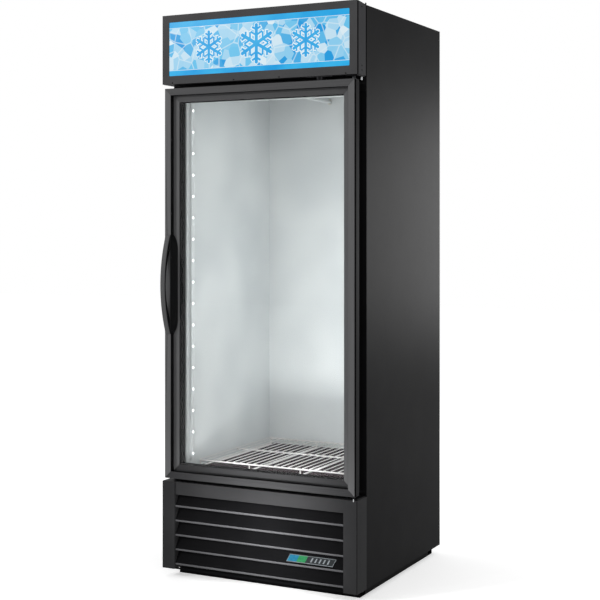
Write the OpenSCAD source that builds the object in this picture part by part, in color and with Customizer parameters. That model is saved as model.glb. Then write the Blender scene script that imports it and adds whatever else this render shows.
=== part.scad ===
// One-door ice merchandiser: an insulated cabinet on a base frame, with a lit sign box over a glass door
// and a louvred machine compartment below the cabin.
// Millimetres. +X is right, +Y is to the rear and +Z is up. The door faces -Y. The origin lies at floor
// level, under the middle of the overall box.

/* [Cabinet] */
// Width over the side panels
cabinet_w = 762; // [620:1:960]
// Depth from the front of the sign box to the back panel
body_depth = 759; // [700:1:920]
// Height over the top panel
cabinet_h = 1997; // [1850:1:2400]
// Depth of the front zone that holds sign box, door and posts
front_depth = 76; // [76:1:92]
// Thickness of the outer steel sheet
sheet_t = 1; // [0.8:0.1:1.6]
// Width of the flanges folded in along the front edges of the side panels
front_flange_w = 40; // [34:1:48]
// Width of the flanges folded in along the lower edges of the side panels
lower_flange_w = 30; // [24:1:36]

/* [Cabin] */
// Foam thickness of every wall
foam_t = 50; // [42:1:60]
// Thickness of the white liner sheet
liner_t = 1; // [0.8:0.1:1.5]
// Thickness of the steel cabin floor
floor_t = 1.5; // [1:0.1:3]
// Height of the cabin floor's upper face above the ground
floor_z = 375; // [350:1:450]
// Thickness of the breaker strips round the opening
breaker_t = 2.4; // [2:0.1:3]
// How far the breaker strips reach into the cabin
breaker_return = 22; // [15:1:30]
// Height of the sill over the cabin floor
sill_rise = 12; // [8:1:20]
// Height of the opening's upper edge below the sign box
head_drop = 49; // [45:1:60]

/* [Base] */
// Height of the base frame
base_h = 32; // [27:1:40]
// Setback of the base frame from the cabinet sides
base_inset = 25; // [20:1:30]
// Setback of the base frame from the back
base_rear_gap = 20; // [10:1:30]
// Width of the base rails
rail_w = 40; // [38:1:50]
// Sheet thickness of the base rails
rail_t = 3; // [2.5:0.1:4]

/* [Levelling feet] */
// Diameter of a foot's threaded stem
stem_d = 10; // [8:0.5:12]
// Length of a foot's stem above its pad
stem_len = 48; // [30:1:60]
// Diameter of a foot's pad
pad_d = 30; // [24:1:31]
// Height of a foot's pad
pad_h = 8; // [5:0.5:10]
// Height of the screwed-home pads above the ground
pad_lift = 1; // [1:0.5:4]
// Distance of the feet from the ends of the base frame
foot_end = 62; // [54:1:90]

/* [Sign box] */
// Height of the sign box
sign_box_h = 245; // [220:1:300]
// Sheet thickness of the sign box
sign_sheet = 1.2; // [1:0.1:2]
// Width of the sign window
window_w = 705; // [560:1:720]
// Height of the sign window
window_h = 190; // [160:1:200]
// Corner radius of the sign window
window_r = 3; // [2:1:15]
// Height of the window's lower edge above the bottom of the sign box
window_rise = 29; // [20:1:40]
// Thickness of the translucent sign panel
sign_t = 3; // [2:0.5:4]
// Overlap of the sign panel behind the bezel
sign_overlap = 9; // [5:1:12]

/* [Door] */
// Gap from the door's edge to the cabinet side plane
door_side_gap = 10; // [6:1:14]
// Gap between the door and the sign box
door_top_gap = 15; // [14:1:20]
// Gap between the door and the posts
door_bottom_gap = 11.5; // [11:0.5:16]
// Width of the outer face of the door members
face_w = 24; // [22:1:30]
// Depth of the step from the outer face down to the lip
step_d = 20; // [14:1:21]
// Width of the lip round the glass
lip_w = 24; // [18:1:30]
// Thickness of the lip
lip_t = 3; // [2:0.5:4]
// Depth of the aluminium door members
member_d = 37; // [36:1:40]
// Wall thickness of the aluminium door members
member_t = 2; // [1.5:0.1:2.2]
// Depth of the dark inner frame behind the aluminium
inner_frame_d = 23; // [20:1:24]
// Inset of the inner frame and its edge from the door's edge
inner_frame_inset = 8; // [6:1:10]
// Thickness of a glass pane
pane_t = 4; // [3:0.5:5]
// Air gap between the panes
pane_gap = 16; // [12:1:16]
// Inset of the gasket from the door's edge
gasket_inset = 17; // [17:1:18]
// Width of the gasket
gasket_w = 16; // [12:1:18]
// Gap between the closed gasket and the cabinet
gasket_gap = 0.3; // [0.2:0.1:1]

/* [Hinges] */
// Distance of the hinge axis from the door's right edge
axis_in = 15; // [14.5:0.5:15.5]
// Distance of the hinge axis behind the door's front face
axis_back = 28; // [27:0.5:28]
// Diameter of the hinge pins
pin_d = 8; // [6:0.5:9]
// Radial running clearance of the pins
pin_clear = 0.06; // [0.02:0.01:0.1]
// Length of a pin inside the door
pin_grip = 18; // [12:1:22]
// Thickness of the hinge plates
plate_t = 4; // [3:0.5:5]
// Outer diameter of the hinge collars
collar_d = 13; // [12:0.5:16]
// Diameter of the self-closing torsion rod
rod_d = 5; // [4:0.5:6]
// Length of the torsion rod
rod_len = 520; // [300:1:800]

/* [Door lock] */
// Distance of the lock from the middle, to the right
lock_x = 240; // [150:1:270]
// Width of the lock's mounting plate
lock_w = 96; // [60:1:110]
// Reach of the locking cam from the plug's axis
cam_reach = 15; // [14:0.5:16]

/* [Handle] */
// Length of the handle
handle_len = 352; // [280:1:420]
// Width of the handle's bow
handle_w = 21; // [18:1:23]
// How far the bow stands out from the door
handle_out = 37; // [30:1:46]
// Thickness of the bow at its middle
bow_t = 9; // [7:1:12]
// Length of the finger gap
grip_len = 236; // [180:1:280]
// Height of the handle's middle above the ground
handle_z = 1041; // [900:1:1200]
// Thickness of the handle's back plate
backplate_t = 2; // [1.5:0.5:3]
// Reach of the curved wing beside the bow
wing_reach = 18; // [12:1:20]
// Distance of the handle from the door's left edge
handle_in = 2.5; // [1:0.5:4]

/* [Lower front] */
// Height of the posts' upper faces above the ground
post_top = 341.5; // [320:0.5:400]
// Width of the posts
post_w = 51; // [44:1:60]
// Sheet thickness of the posts and the grille
post_t = 1.5; // [1:0.1:2]
// Setback of the grille from the posts' front faces
grille_back = 3; // [1:0.5:6]
// Height of the flat band over the slats
band_h = 45; // [35:1:60]
// Number of slats
slat_count = 5; // [3:1:6]
// Height from the flat band down to the uppermost slat's lip
first_lip_drop = 40.5; // [30:0.5:50]
// Height of the lowest slat's lip over the base frame
last_lip_rise = 19.5; // [10:0.5:30]
// Thickness of a slat
slat_t = 1.5; // [1:0.1:2]
// Radius of the rounded lip along each slat
slat_lip_r = 5; // [3:0.1:6]
// Depth over which a slat slopes back
slat_depth = 30; // [20:1:36]
// Length of the badge plate
badge_len = 187; // [120:1:220]
// Height of the badge plate along the slat
badge_h = 27; // [18:1:30]
// Thickness of the badge plate
badge_t = 2; // [1:0.5:3]

/* [Floor rack] */
// Diameter of the rack's frame wires
frame_wire_d = 6; // [5:0.5:7]
// Diameter of the rack's deck wires
deck_wire_d = 3.2; // [2.5:0.1:4]
// Height of the rack over the cabin floor
rack_h = 30; // [24:1:40]
// Number of deck wires
deck_wires = 23; // [12:1:28]
// Distance of the rack from the cabin's side walls
rack_side_gap = 24; // [18:1:40]
// Distance of the rack from the breaker strips' plane
rack_front_gap = 60; // [40:1:90]
// Distance of the rack from the rear wall
rack_rear_gap = 30; // [20:1:60]

/* [Evaporator] */
// Height of the shroud over the evaporator
evap_h = 200; // [190:1:220]
// Width of the shroud
evap_w = 600; // [460:1:620]
// Distance of the shroud's front from the cabinet front
evap_front = 105; // [90:1:140]
// Diameter of the evaporator fans
evap_fan_d = 140; // [120:1:150]
// Distance of the evaporator fans from the middle
evap_fan_x = 138; // [100:1:160]
// Length of the evaporator motors
evap_motor_len = 45; // [35:1:50]
// Depth of the finned evaporator block
evap_coil_d = 140; // [100:1:180]
// Depth of the drip tray
drip_h = 18; // [12:1:24]

/* [Machine compartment] */
// Width of the unit tray
tray_w = 620; // [520:1:630]
// Diameter of the compressor shell
shell_d = 170; // [140:1:190]
// Height of the compressor shell
shell_h = 195; // [150:1:205]
// Position of the compressor, right of the middle
shell_x = 165; // [120:1:180]
// Distance of the compressor's axis from the back panel
shell_back = 210; // [190:1:230]
// Height of the rubber grommets
grommet_h = 14; // [10:1:18]
// Width of the condenser block
cond_w = 420; // [340:1:440]
// Height of the condenser block
cond_h = 236; // [200:1:240]
// Depth of the condenser block
cond_d = 58; // [40:1:64]
// Distance of the condenser behind the cabinet front
cond_back = 32; // [26:1:50]
// Diameter of the condenser fan
cond_fan_d = 210; // [170:1:220]
// Diameter of the refrigerant lines
line_d = 8; // [6:0.5:10]

/* [Hidden] */

fine = 64;   // facets asked of round parts
eps = 0.01;  // overrun of cutting bodies
joint_gap = 0.2; // butted strips stand this far apart
air = 0.5;   // ordinary clearance between neighbouring parts

// Planes of the cabinet
half_w = cabinet_w / 2;
front_y = handle_out - (body_depth + handle_out) / 2;
cab_y = front_y + front_depth;
back_y = front_y + body_depth;
sign_z = cabinet_h - sign_box_h;
shell_x_in = half_w - sheet_t;       // inner face of the side panels
shell_y_in = back_y - sheet_t;       // inner face of the back panel
sign_fall = 7;                       // how far the sign box's top falls to the cabinet's
body_h = cabinet_h - sign_fall;
shell_z_in = body_h - sheet_t;       // inner face of the top panel
foam_front = cab_y + breaker_t;
liner_x = shell_x_in - foam_t;       // outer face of the liner
liner_y = shell_y_in - foam_t;
liner_z = cabinet_h - sheet_t - foam_t;
cabin_x = liner_x - liner_t;         // inner face of the liner
cabin_y = liner_y - liner_t;
cabin_top = liner_z - liner_t;
floor_under = floor_z - floor_t;
deck_z = floor_under - foam_t;       // upper face of the deck over the machine compartment
sill_z = floor_z + sill_rise;
head_z = sign_z - head_drop;
sill_lap = 10;                       // overlap of the sheets behind the breaker strips, at the sill
head_lap = 12;                       // the same at the head
opening_x = cabin_x - 2;             // half width of the opening between the breaker strips
panel_x = half_w - front_flange_w - joint_gap / 2;

// Base
base_x = half_w - base_inset;
base_back = back_y - base_rear_gap;
foot_x = base_x - rail_w / 2;
foot_ys = [cab_y + foot_end, base_back - foot_end];
foot_clear = 2;
nut_h = 8;
nut_r = stem_d / 2 + 4;

// Door
door_x = half_w - door_side_gap;
door_lo = post_top + door_bottom_gap;
door_hi = sign_z - door_top_gap;
lip_edge = face_w + lip_w;
pane_y1 = front_y + step_d + lip_t;
pane_y2 = pane_y1 + pane_t + pane_gap;
glass_back = pane_y2 + pane_t - front_y;   // depth of the inner pane's rear face
pane_in = face_w + 2;
inner_frame_back = member_d + inner_frame_d;
axis_x = door_x - axis_in;
axis_y = front_y + axis_back;
block_air = 0.2;
block_h = 22;
handle_x0 = face_w - handle_in - handle_w;
grip_depth = handle_out - bow_t;

screw_x = -door_x + handle_in + handle_w / 2;   // screws of the handle
screw_z = handle_len / 2 - 22;
screw_r = 2.5;

// Hinge plates
hinge_x0 = axis_x - 22;
hinge_x1 = half_w - 3;
hinge_y0 = front_y + 8;

// Lock under the sign box
lock_z = sign_z - 6.5;
plug_r = 4.6;
plug_y = front_y + 2.5;
lock_block_y0 = front_y + 4;
lock_block_y1 = front_y + member_d + 1;
cam_y = lock_block_y1 + 0.3;
cam_t = 2.5;
cam_w = 7;
strike_y = cam_y + cam_t + 1;

// Rear cover, its screws and its gland, and the screws of the sign box
cover_y = back_y - 5;                // the cover is set in by its screw heads and more
cover_screw_r = 2;
cover_screw_x = half_w - 14;
cover_screw_zs = [base_h + 20, deck_z - 20];
gland_x = base_inset + 35 - half_w;
gland_z = base_h + 60;
gland_r = 9;
side_screw_r = 3;
side_screw_y = front_y + 38;
side_screw_zs = [sign_z + 16, sign_z + 31, cabinet_h - 18];
seam_front = 9;                      // widths of the sunk seams at both ends of the sign box's sides
seam_rear = 7;
seam_depth = 3;

// Lower front
grille_x = half_w - post_w;
grille_y = front_y + grille_back;
band_z = post_top - band_h;
slat_pitch = (band_z - first_lip_drop - base_h - last_lip_rise) / (slat_count - 1);
slat_rise = slat_pitch - 8;
slat_angle = atan2(slat_depth - slat_lip_r, slat_rise);
slat_face = slat_lip_r - 0.3;        // from the lip's axis out to the sheet's outer face
badge_right = grille_x - 29;
badge_slat = 3;      // the slat that carries the badge, counted from the top
badge_slant = 13;

// Evaporator
evap_x = evap_w / 2;
evap_y = cab_y + evap_front;
evap_z = cabin_top - evap_h;
evap_rear = evap_y + 380;
evap_fan_z = evap_z + evap_h / 2 + 4;
motor_y = evap_y + 30;
evap_coil_y = motor_y + evap_motor_len + 35;
coil_end = 12;
shaft_r = 2.5;
shaft_clear = 0.05;
switch_x = evap_x - 50;
knob_x = 50 - evap_x;
control_z = evap_z + 26;
switch_r = 11;
switch_w = 15;
pivot_r = 1.5;
knob_r = 15;
knob_pin_r = 3;
bend_tube_r = 4;     // tubes of both finned blocks

// Machine compartment
tray_z = base_h;
tray_t = 2;
tray_top = tray_z + tray_t;
tray_y0 = cab_y + 4;
tray_y1 = base_back - 4;
cond_y = cab_y + cond_back;
shroud_y = cond_y + cond_d;
shroud_d = 34;
fan_axis_z = tray_top + 6 + cond_h / 2;
cond_motor_y = shroud_y + 62;
cond_motor_len = 55;
comp_y = back_y - shell_back;
foot_plate_z = tray_top + grommet_h;
comp_z = foot_plate_z + 3;
chase_y = liner_y + foam_t / 2;
suction_x = 60;
drain_x = -60;
drain_r = 7;
chase_r = 10;
pan_x0 = -tray_w / 2 + 6;
pan_x1 = -20;
pan_y1 = tray_y1 - 8;
pan_y0 = pan_y1 - 150;
pan_h = 46;
grommet_spots = [for (sx = [-1, 1], sy = [-1, 1]) [shell_x + sx * 95, comp_y + sy * 62]];
stub_hot = [shell_x - 34, comp_y - shell_d / 2 - 18, comp_z + shell_h * 0.34];
stub_cold = [shell_x + 30, comp_y + shell_d / 2 + 20, comp_z + shell_h * 0.68];
drier_x = -20;
drier_y = comp_y - 20;
drier_z = tray_top + 150;

black_coat = [0.10, 0.10, 0.105];
dark_steel = [0.16, 0.16, 0.165];
white_coat = [0.90, 0.91, 0.91];
zinc = [0.72, 0.73, 0.74];
black_plastic = [0.06, 0.06, 0.065];

// ---------- helpers ----------

// A box from its lowest to its highest corner
module block(low, high) {
    translate(low) cube([for (i = [0:2]) high[i] - low[i]]);
}

// Points of an arc about c, from angle a0 to a1
function arc(c, r, a0, a1, n = 6) =
    [for (i = [0:n]) let (a = a0 + (a1 - a0) * i / n) [c[0] + r * cos(a), c[1] + r * sin(a)]];

// Outline of a rectangle w by h with rounded corners, from its lower left corner
function round_rect(w, h, r) = concat(
    arc([w - r, r], r, -90, 0), arc([w - r, h - r], r, 0, 90),
    arc([r, h - r], r, 90, 180), arc([r, r], r, 180, 270));

// A 2D outline in X and Z, given a thickness from y0 to y1
module plate_y(y0, y1) {
    translate([0, y1, 0]) rotate([90, 0, 0]) linear_extrude(y1 - y0) children();
}

// A cylinder along Y
module rod_y(x, z, r, y0, y1) {
    translate([x, y0, z]) rotate([-90, 0, 0]) cylinder(r = r, h = y1 - y0, $fn = fine);
}

// A cylinder along X
module rod_x(y, z, r, x0, x1) {
    translate([x0, y, z]) rotate([0, 90, 0]) cylinder(r = r, h = x1 - x0, $fn = fine);
}

// A profile in Y and Z, extruded along X over both halves
module across(half) {
    translate([-half, 0, 0]) rotate([90, 0, 90]) linear_extrude(2 * half) children();
}

// A cylinder along Z
module rod_z(x, y, r, z0, z1) {
    translate([x, y, z0]) cylinder(r = r, h = z1 - z0, $fn = fine);
}

// A bar along X whose profile is given as [depth, width] points, mitred at both ends.
// reach is the profile's largest width and gap trims each end.
module mitred_bar(length, reach, gap = 0) {
    intersection() {
        rotate([90, 0, 90]) linear_extrude(length) children();
        translate([0, 200, 0]) rotate([90, 0, 0]) linear_extrude(400)
            polygon([[gap, 0], [length - gap, 0], [length - reach - gap, reach], [reach + gap, reach]]);
    }
}

// Places a mitred bar as one side of the door: its outer edge lies on the door's edge
module door_side(side, gap = 0, reach = lip_edge) {
    wide = 2 * door_x;
    tall = door_hi - door_lo;
    if (side == "bottom")
        translate([-door_x, front_y, door_lo]) mitred_bar(wide, reach, gap) children();
    if (side == "top")
        translate([0, 0, door_lo + door_hi]) mirror([0, 0, 1])
            translate([-door_x, front_y, door_lo]) mitred_bar(wide, reach, gap) children();
    if (side == "left")
        translate([-door_x, front_y, door_lo]) mirror([1, 0, 0]) rotate([0, -90, 0])
            mitred_bar(tall, reach, gap) children();
    if (side == "right")
        mirror([1, 0, 0]) door_side("left", gap, reach) children();
}

// Four mitred bars round the door, each a solid of its own
module door_ring(reach) {
    for (side = ["bottom", "top", "left", "right"])
        door_side(side, joint_gap / 2, reach) children();
}

// ---------- base ----------

// A C-channel along Y on the left, open towards the middle, with a welded nut over each foot
module base_rail() {
    y0 = cab_y + rail_w;
    y1 = base_back - rail_w;
    web_x = -base_x;
    difference() {
        union() {
            block([web_x, y0, 0], [web_x + rail_t, y1, base_h]);
            block([web_x, y0, 0], [web_x + rail_w, y1, rail_t]);
            block([web_x, y0, base_h - rail_t], [web_x + rail_w, y1, base_h]);
            for (y = foot_ys)
                rod_z(-foot_x, y, nut_r, base_h - rail_t - nut_h, base_h - rail_t);
        }
        for (y = foot_ys) {
            rod_z(-foot_x, y, pad_d / 2 + foot_clear, -1, rail_t + 1);
            rod_z(-foot_x, y, stem_d / 2 + pin_clear, rail_t + 1, base_h + 1);
        }
    }
}

// A channel across the frame, open towards the middle
module crossmember(y_web, y_open) {
    low = min(y_web, y_open);
    high = max(y_web, y_open);
    web_side = y_web < y_open ? y_web : y_web - rail_t;
    block([-base_x, web_side, 0], [base_x, web_side + rail_t, base_h]);
    block([-base_x, low, 0], [base_x, high, rail_t]);
    block([-base_x, low, base_h - rail_t], [base_x, high, base_h]);
}

// One welded frame: two rails and two cross members
module base_frame() {
    color(dark_steel) union() {
        for (s = [0, 1]) mirror([s, 0, 0]) base_rail();
        crossmember(cab_y, cab_y + rail_w);
        crossmember(base_back, base_back - rail_w);
    }
}

// A levelling foot: a rubber-faced pad, a hexagon and a threaded stem
module leveller(side, row) {
    hex_h = 4;
    color(zinc) translate([side * foot_x, foot_ys[row], pad_lift]) {
        cylinder(d = pad_d, h = pad_h, $fn = fine);
        translate([0, 0, pad_h]) cylinder(d = stem_d + 7, h = hex_h, $fn = 6);
        cylinder(d = stem_d, h = pad_h + stem_len, $fn = fine);
    }
}

// ---------- outer panels ----------

// A side sheet with flanges folded in along its front and lower edges, and one that carries the rear cover
module side_panel() {
    x0 = -half_w;
    color(black_coat) difference() {
        union() {
            block([x0, cab_y, base_h], [x0 + sheet_t, back_y, body_h]);
            block([x0, cab_y, base_h], [x0 + front_flange_w, cab_y + sheet_t, body_h]);
            block([x0, cab_y, base_h], [x0 + lower_flange_w, cover_y, base_h + sheet_t]);
            block([x0, cover_y - sheet_t, base_h], [x0 + lower_flange_w, cover_y, cover_screw_zs[1] + 10]);
        }
        for (z = cover_screw_zs)
            rod_y(-cover_screw_x, z, cover_screw_r + shaft_clear, cover_y - 5, cover_y + 1);
    }
}

module side_panel_left() {
    side_panel();
}

module side_panel_right() {
    mirror([1, 0, 0]) side_panel();
}

module back_panel() {
    color(dark_steel)
        block([-shell_x_in, shell_y_in, deck_z], [shell_x_in, back_y, shell_z_in]);
}

module top_panel() {
    color(black_coat)
        block([-shell_x_in, cab_y + sheet_t, shell_z_in], [shell_x_in, back_y, body_h]);
}

// Vented cover over the rear of the machine compartment, set in so that its screws stay flush
module rear_service_cover() {
    slot_w = 90;
    slot_h = 7;
    slot_pitch = [150, 20];
    slot_low = base_h + 70;
    slot_mid = 60;
    rows = 9;
    hem = 12;
    edge = sheet_t + air;
    color(dark_steel) difference() {
        union() {
            block([-half_w + edge, cover_y, base_h + edge],
                  [half_w - edge, cover_y + sheet_t, deck_z - sheet_t]);
            block([-half_w + edge, cover_y - hem, deck_z - 2 * sheet_t],
                  [half_w - edge, cover_y, deck_z - sheet_t]);
        }
        for (col = [-1:1], row = [0:rows - 1])
            translate([slot_mid + col * slot_pitch[0] - slot_w / 2, 0, slot_low + row * slot_pitch[1]])
                plate_y(cover_y - 1, cover_y + sheet_t + 1) square([slot_w, slot_h]);
        rod_y(gland_x, gland_z, gland_r + shaft_clear, cover_y - 1, cover_y + sheet_t + 1);
        for (s = [-1, 1], z = cover_screw_zs)
            rod_y(s * cover_screw_x, z, cover_screw_r + shaft_clear, cover_y - 1, cover_y + sheet_t + 1);
    }
}

// Sheets across the cabinet: the sill and the head over the opening, and the deck under the cabin
module cross_panels() {
    color(dark_steel) {
        block([-panel_x, cab_y, deck_z], [panel_x, cab_y + sheet_t, sill_z - sill_lap]);
        block([-panel_x, cab_y, head_z + head_lap], [panel_x, cab_y + sheet_t, shell_z_in]);
        difference() {
            block([-shell_x_in, foam_front, deck_z - sheet_t], [shell_x_in, cover_y, deck_z]);
            for (x = [suction_x, drain_x]) rod_z(x, chase_y, chase_r, deck_z - 10, deck_z + 10);
        }
    }
}

// ---------- cabin ----------

module foam_insulation() {
    g = joint_gap / 2;
    color([0.93, 0.87, 0.70]) {
        for (s = [0, 1]) mirror([s, 0, 0])
            block([-shell_x_in, foam_front, deck_z], [-liner_x - g, shell_y_in, shell_z_in]);
        difference() {
            block([-liner_x, liner_y, deck_z], [liner_x, shell_y_in, shell_z_in]);
            rod_z(suction_x, chase_y, chase_r, deck_z - 1, evap_fan_z + chase_r);
            rod_y(suction_x, evap_fan_z, chase_r, liner_y - 1, chase_y);
            rod_z(drain_x, chase_y, chase_r, deck_z - 1, evap_z);
            rod_y(drain_x, evap_z - drip_h / 2, chase_r, liner_y - 1, chase_y);
        }
        block([-liner_x, foam_front, deck_z], [liner_x, liner_y - joint_gap, floor_under]);
        block([-liner_x, foam_front, liner_z], [liner_x, liner_y - joint_gap, shell_z_in]);
        block([joint_gap - cabin_x, foam_front, head_z + head_lap],
              [cabin_x - joint_gap, foam_front + foam_t, liner_z - joint_gap]);
    }
}

module cabin_liner() {
    y0 = foam_front;
    head_y = foam_front + foam_t;
    inner_x = cabin_x - joint_gap;
    color(white_coat) {
        for (s = [0, 1]) mirror([s, 0, 0])
            block([-liner_x, y0, floor_under], [-cabin_x, liner_y - joint_gap, liner_z]);
        difference() {
            block([-inner_x, cabin_y, floor_z], [inner_x, liner_y, liner_z]);
            rod_y(suction_x, evap_fan_z, chase_r, cabin_y - 1, liner_y + 1);
            rod_y(drain_x, evap_z - drip_h / 2, chase_r, cabin_y - 1, liner_y + 1);
        }
        block([-inner_x, head_y + liner_t + joint_gap, cabin_top], [inner_x, cabin_y - joint_gap, liner_z]);
        block([-inner_x, head_y, head_z + head_lap], [inner_x, head_y + liner_t, liner_z]);
    }
}

module cabin_floor() {
    upturn = 9;
    color([0.32, 0.31, 0.32]) union() {
        block([-cabin_x, foam_front, floor_under], [cabin_x, cabin_y, floor_z]);
        block([-cabin_x, foam_front, floor_under], [cabin_x, foam_front + floor_t, floor_z + upturn]);
    }
}

// Four plastic strips that bridge the outer sheet and the liner round the opening
module breaker_strips() {
    flange_x = half_w - front_flange_w - joint_gap;
    g = joint_gap;
    strip_x = cabin_x - g;
    y1 = cab_y + breaker_return;
    color([0.80, 0.81, 0.81]) {
        for (s = [0, 1]) mirror([s, 0, 0]) {
            block([-flange_x, cab_y, sill_z], [-opening_x, cab_y + breaker_t - g, head_z]);
            block([-strip_x, cab_y, sill_z], [-opening_x, y1, head_z]);
        }
        block([-strip_x, cab_y, sill_z - sill_lap + g], [strip_x, cab_y + breaker_t - g, sill_z - g]);
        block([-strip_x, cab_y, head_z + g], [strip_x, cab_y + breaker_t - g, head_z + head_lap - g]);
        block([-strip_x, foam_front, head_z + g], [strip_x, foam_front + foam_t, head_z + breaker_t]);
    }
}

// ---------- sign box ----------

// Open box with joggled sides, which leave a sunk seam behind the bezel and before the cabinet
module header_box() {
    y0 = front_y + sign_sheet;
    y1 = cab_y;
    g = joint_gap;
    ya = y0 + seam_front;
    yb = y1 - seam_rear;
    tab_x = half_w - seam_depth - sign_sheet;
    color(black_coat) {
        for (s = [0, 1]) mirror([s, 0, 0]) difference() {
            translate([0, 0, sign_z]) linear_extrude(cabinet_h - sign_z) polygon([
                [tab_x, y0], [tab_x + sign_sheet, y0], [tab_x + sign_sheet, ya], [half_w, ya],
                [half_w, yb], [tab_x + sign_sheet, yb], [tab_x + sign_sheet, y1], [tab_x, y1],
                [tab_x, yb - sign_sheet], [half_w - sign_sheet, yb - sign_sheet],
                [half_w - sign_sheet, ya + sign_sheet], [tab_x, ya + sign_sheet]]);
            for (z = side_screw_zs)
                rod_x(side_screw_y, z, side_screw_r + shaft_clear, half_w - sign_sheet - 1, half_w + 1);
            across(half_w + 1) polygon([[y0, cabinet_h], [y1, body_h], [y1 + 1, body_h], [y1 + 1, cabinet_h + 1],
                                        [y0 - 1, cabinet_h + 1], [y0 - 1, cabinet_h]]);
        }
        for (fall = [[sign_z + sign_sheet, 0], [cabinet_h, sign_fall]]) difference() {
            across(half_w - sign_sheet - g) polygon([
                [y0, fall[0] - sign_sheet], [y0, fall[0]], [y1, fall[0] - fall[1]],
                [y1, fall[0] - fall[1] - sign_sheet]]);
            for (s = [0, 1]) mirror([s, 0, 0]) {
                block([tab_x - g, y0 - 1, sign_z - 1], [half_w, ya + sign_sheet + g, cabinet_h + 1]);
                block([tab_x - g, yb - sign_sheet - g, sign_z - 1], [half_w, y1 + 1, cabinet_h + 1]);
            }
        }
    }
}

module sign_bezel() {
    window_z = sign_z + window_rise;
    channel_y = front_y + sign_sheet + sign_t + 2 * air;
    channel_h = 10;
    low = window_z - sign_overlap - 2;
    high = window_z + window_h + sign_overlap + 2;
    color(black_coat) union() {
        difference() {
            block([-half_w, front_y, sign_z], [half_w, front_y + sign_sheet, cabinet_h]);
            translate([-window_w / 2, 0, window_z]) plate_y(front_y - 1, front_y + sign_sheet + 1)
                polygon(round_rect(window_w, window_h, window_r));
        }
        for (z = [low, high - sign_sheet])
            block([-window_w / 2, front_y, z], [window_w / 2, channel_y + sign_sheet, z + sign_sheet]);
        for (z = [low, high - channel_h])
            block([-window_w / 2, channel_y, z], [window_w / 2, channel_y + sign_sheet, z + channel_h]);
    }
}

module sign_panel() {
    window_z = sign_z + window_rise;
    y0 = front_y + sign_sheet + air;
    color([0.45, 0.78, 0.95]) block(
        [-window_w / 2 - sign_overlap, y0, window_z - sign_overlap],
        [window_w / 2 + sign_overlap, y0 + sign_t, window_z + window_h + sign_overlap]);
}

// Light bars: two behind the sign and one up each side of the cabin opening
module led_bars() {
    bar = 10;
    end = 12;
    long = window_w / 2 - 20;
    side_y = cab_y + breaker_return + air;
    color([0.95, 0.97, 1.0]) {
        for (k = [1, 2]) {
            z = sign_z + window_rise + window_h * k / 3;
            block([-long, cab_y - bar, z - bar], [long, cab_y, z + bar]);
        }
        for (s = [0, 1]) mirror([s, 0, 0])
            block([-cabin_x, side_y, sill_z + end], [-cabin_x + bar, side_y + 2 * bar, head_z - end]);
    }
}

// Screws flush in the sides of the sign box, and pan-head screws through the rear cover
module cover_screws() {
    head_h = 2;
    screw_len = 10;
    color(black_plastic) {
        for (s = [0, 1], z = side_screw_zs) mirror([s, 0, 0])
            rod_x(side_screw_y, z, side_screw_r, -half_w, -half_w + screw_len);
        for (s = [-1, 1], z = cover_screw_zs) {
            rod_y(s * cover_screw_x, z, 2 * cover_screw_r, cover_y + sheet_t, cover_y + sheet_t + head_h);
            rod_y(s * cover_screw_x, z, cover_screw_r, cover_y + sheet_t - screw_len, cover_y + sheet_t);
        }
    }
}

// ---------- hinges ----------

module hinge_bracket_top() {
    stop_r = 3;
    color(zinc) union() {
        block([hinge_x0, hinge_y0, sign_z - plate_t], [hinge_x1, cab_y, sign_z]);
        block([axis_x + 1.5, cab_y - plate_t, head_z], [hinge_x1, cab_y, sign_z]);
        rod_z(axis_x, axis_y, pin_d / 2, door_hi - pin_grip, sign_z);
        rod_z(half_w - 2 * stop_r, hinge_y0 + axis_back, stop_r, sign_z - plate_t - stop_r, sign_z - 1);
    }
}

module hinge_bracket_bottom() {
    top = post_top + plate_t;
    flange_h = 55;
    color(zinc) union() {
        block([hinge_x0, hinge_y0, post_top], [hinge_x1, cab_y, top]);
        block([hinge_x0, cab_y - plate_t, post_top - flange_h], [hinge_x1, cab_y, top]);
        rod_z(axis_x, axis_y, pin_d / 2, post_top, door_lo + pin_grip);
    }
}

// ---------- lock ----------

// Plate under the sign box with a bored block for the plug
module door_lock_housing() {
    block_half = 10;
    low = sign_z - 12.5;
    pocket = [17, 18];           // room left and right of the axis for the turning cam
    color(black_plastic) difference() {
        union() {
            block([lock_x - lock_w / 2, lock_block_y0, sign_z - 3], [lock_x + lock_w / 2, cab_y - 30, sign_z]);
            block([lock_x - block_half, lock_block_y0, low], [lock_x + block_half, lock_block_y1, sign_z]);
        }
        rod_y(lock_x, lock_z, plug_r + shaft_clear, lock_block_y0 - 1, lock_block_y1 + 1);
        block([lock_x - pocket[0], lock_block_y1, low], [lock_x + pocket[1], cam_y + cam_t + 1, sign_z - 1]);
    }
}

// Plug with a key slot, and behind it the cam that drops in front of the strike on the door
module door_lock_cam() {
    key_w = 1.4;
    key_h = 6;
    key_depth = 5;
    color(zinc) difference() {
        union() {
            rod_y(lock_x, lock_z, plug_r, plug_y, cam_y + cam_t);
            block([lock_x - cam_w / 2, cam_y, lock_z - cam_w / 2],
                  [lock_x + cam_reach, cam_y + cam_t, lock_z + cam_w / 2]);
        }
        block([lock_x - key_w / 2, plug_y - 1, lock_z - key_h / 2],
              [lock_x + key_w / 2, plug_y + key_depth, lock_z + key_h / 2]);
    }
}

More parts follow.
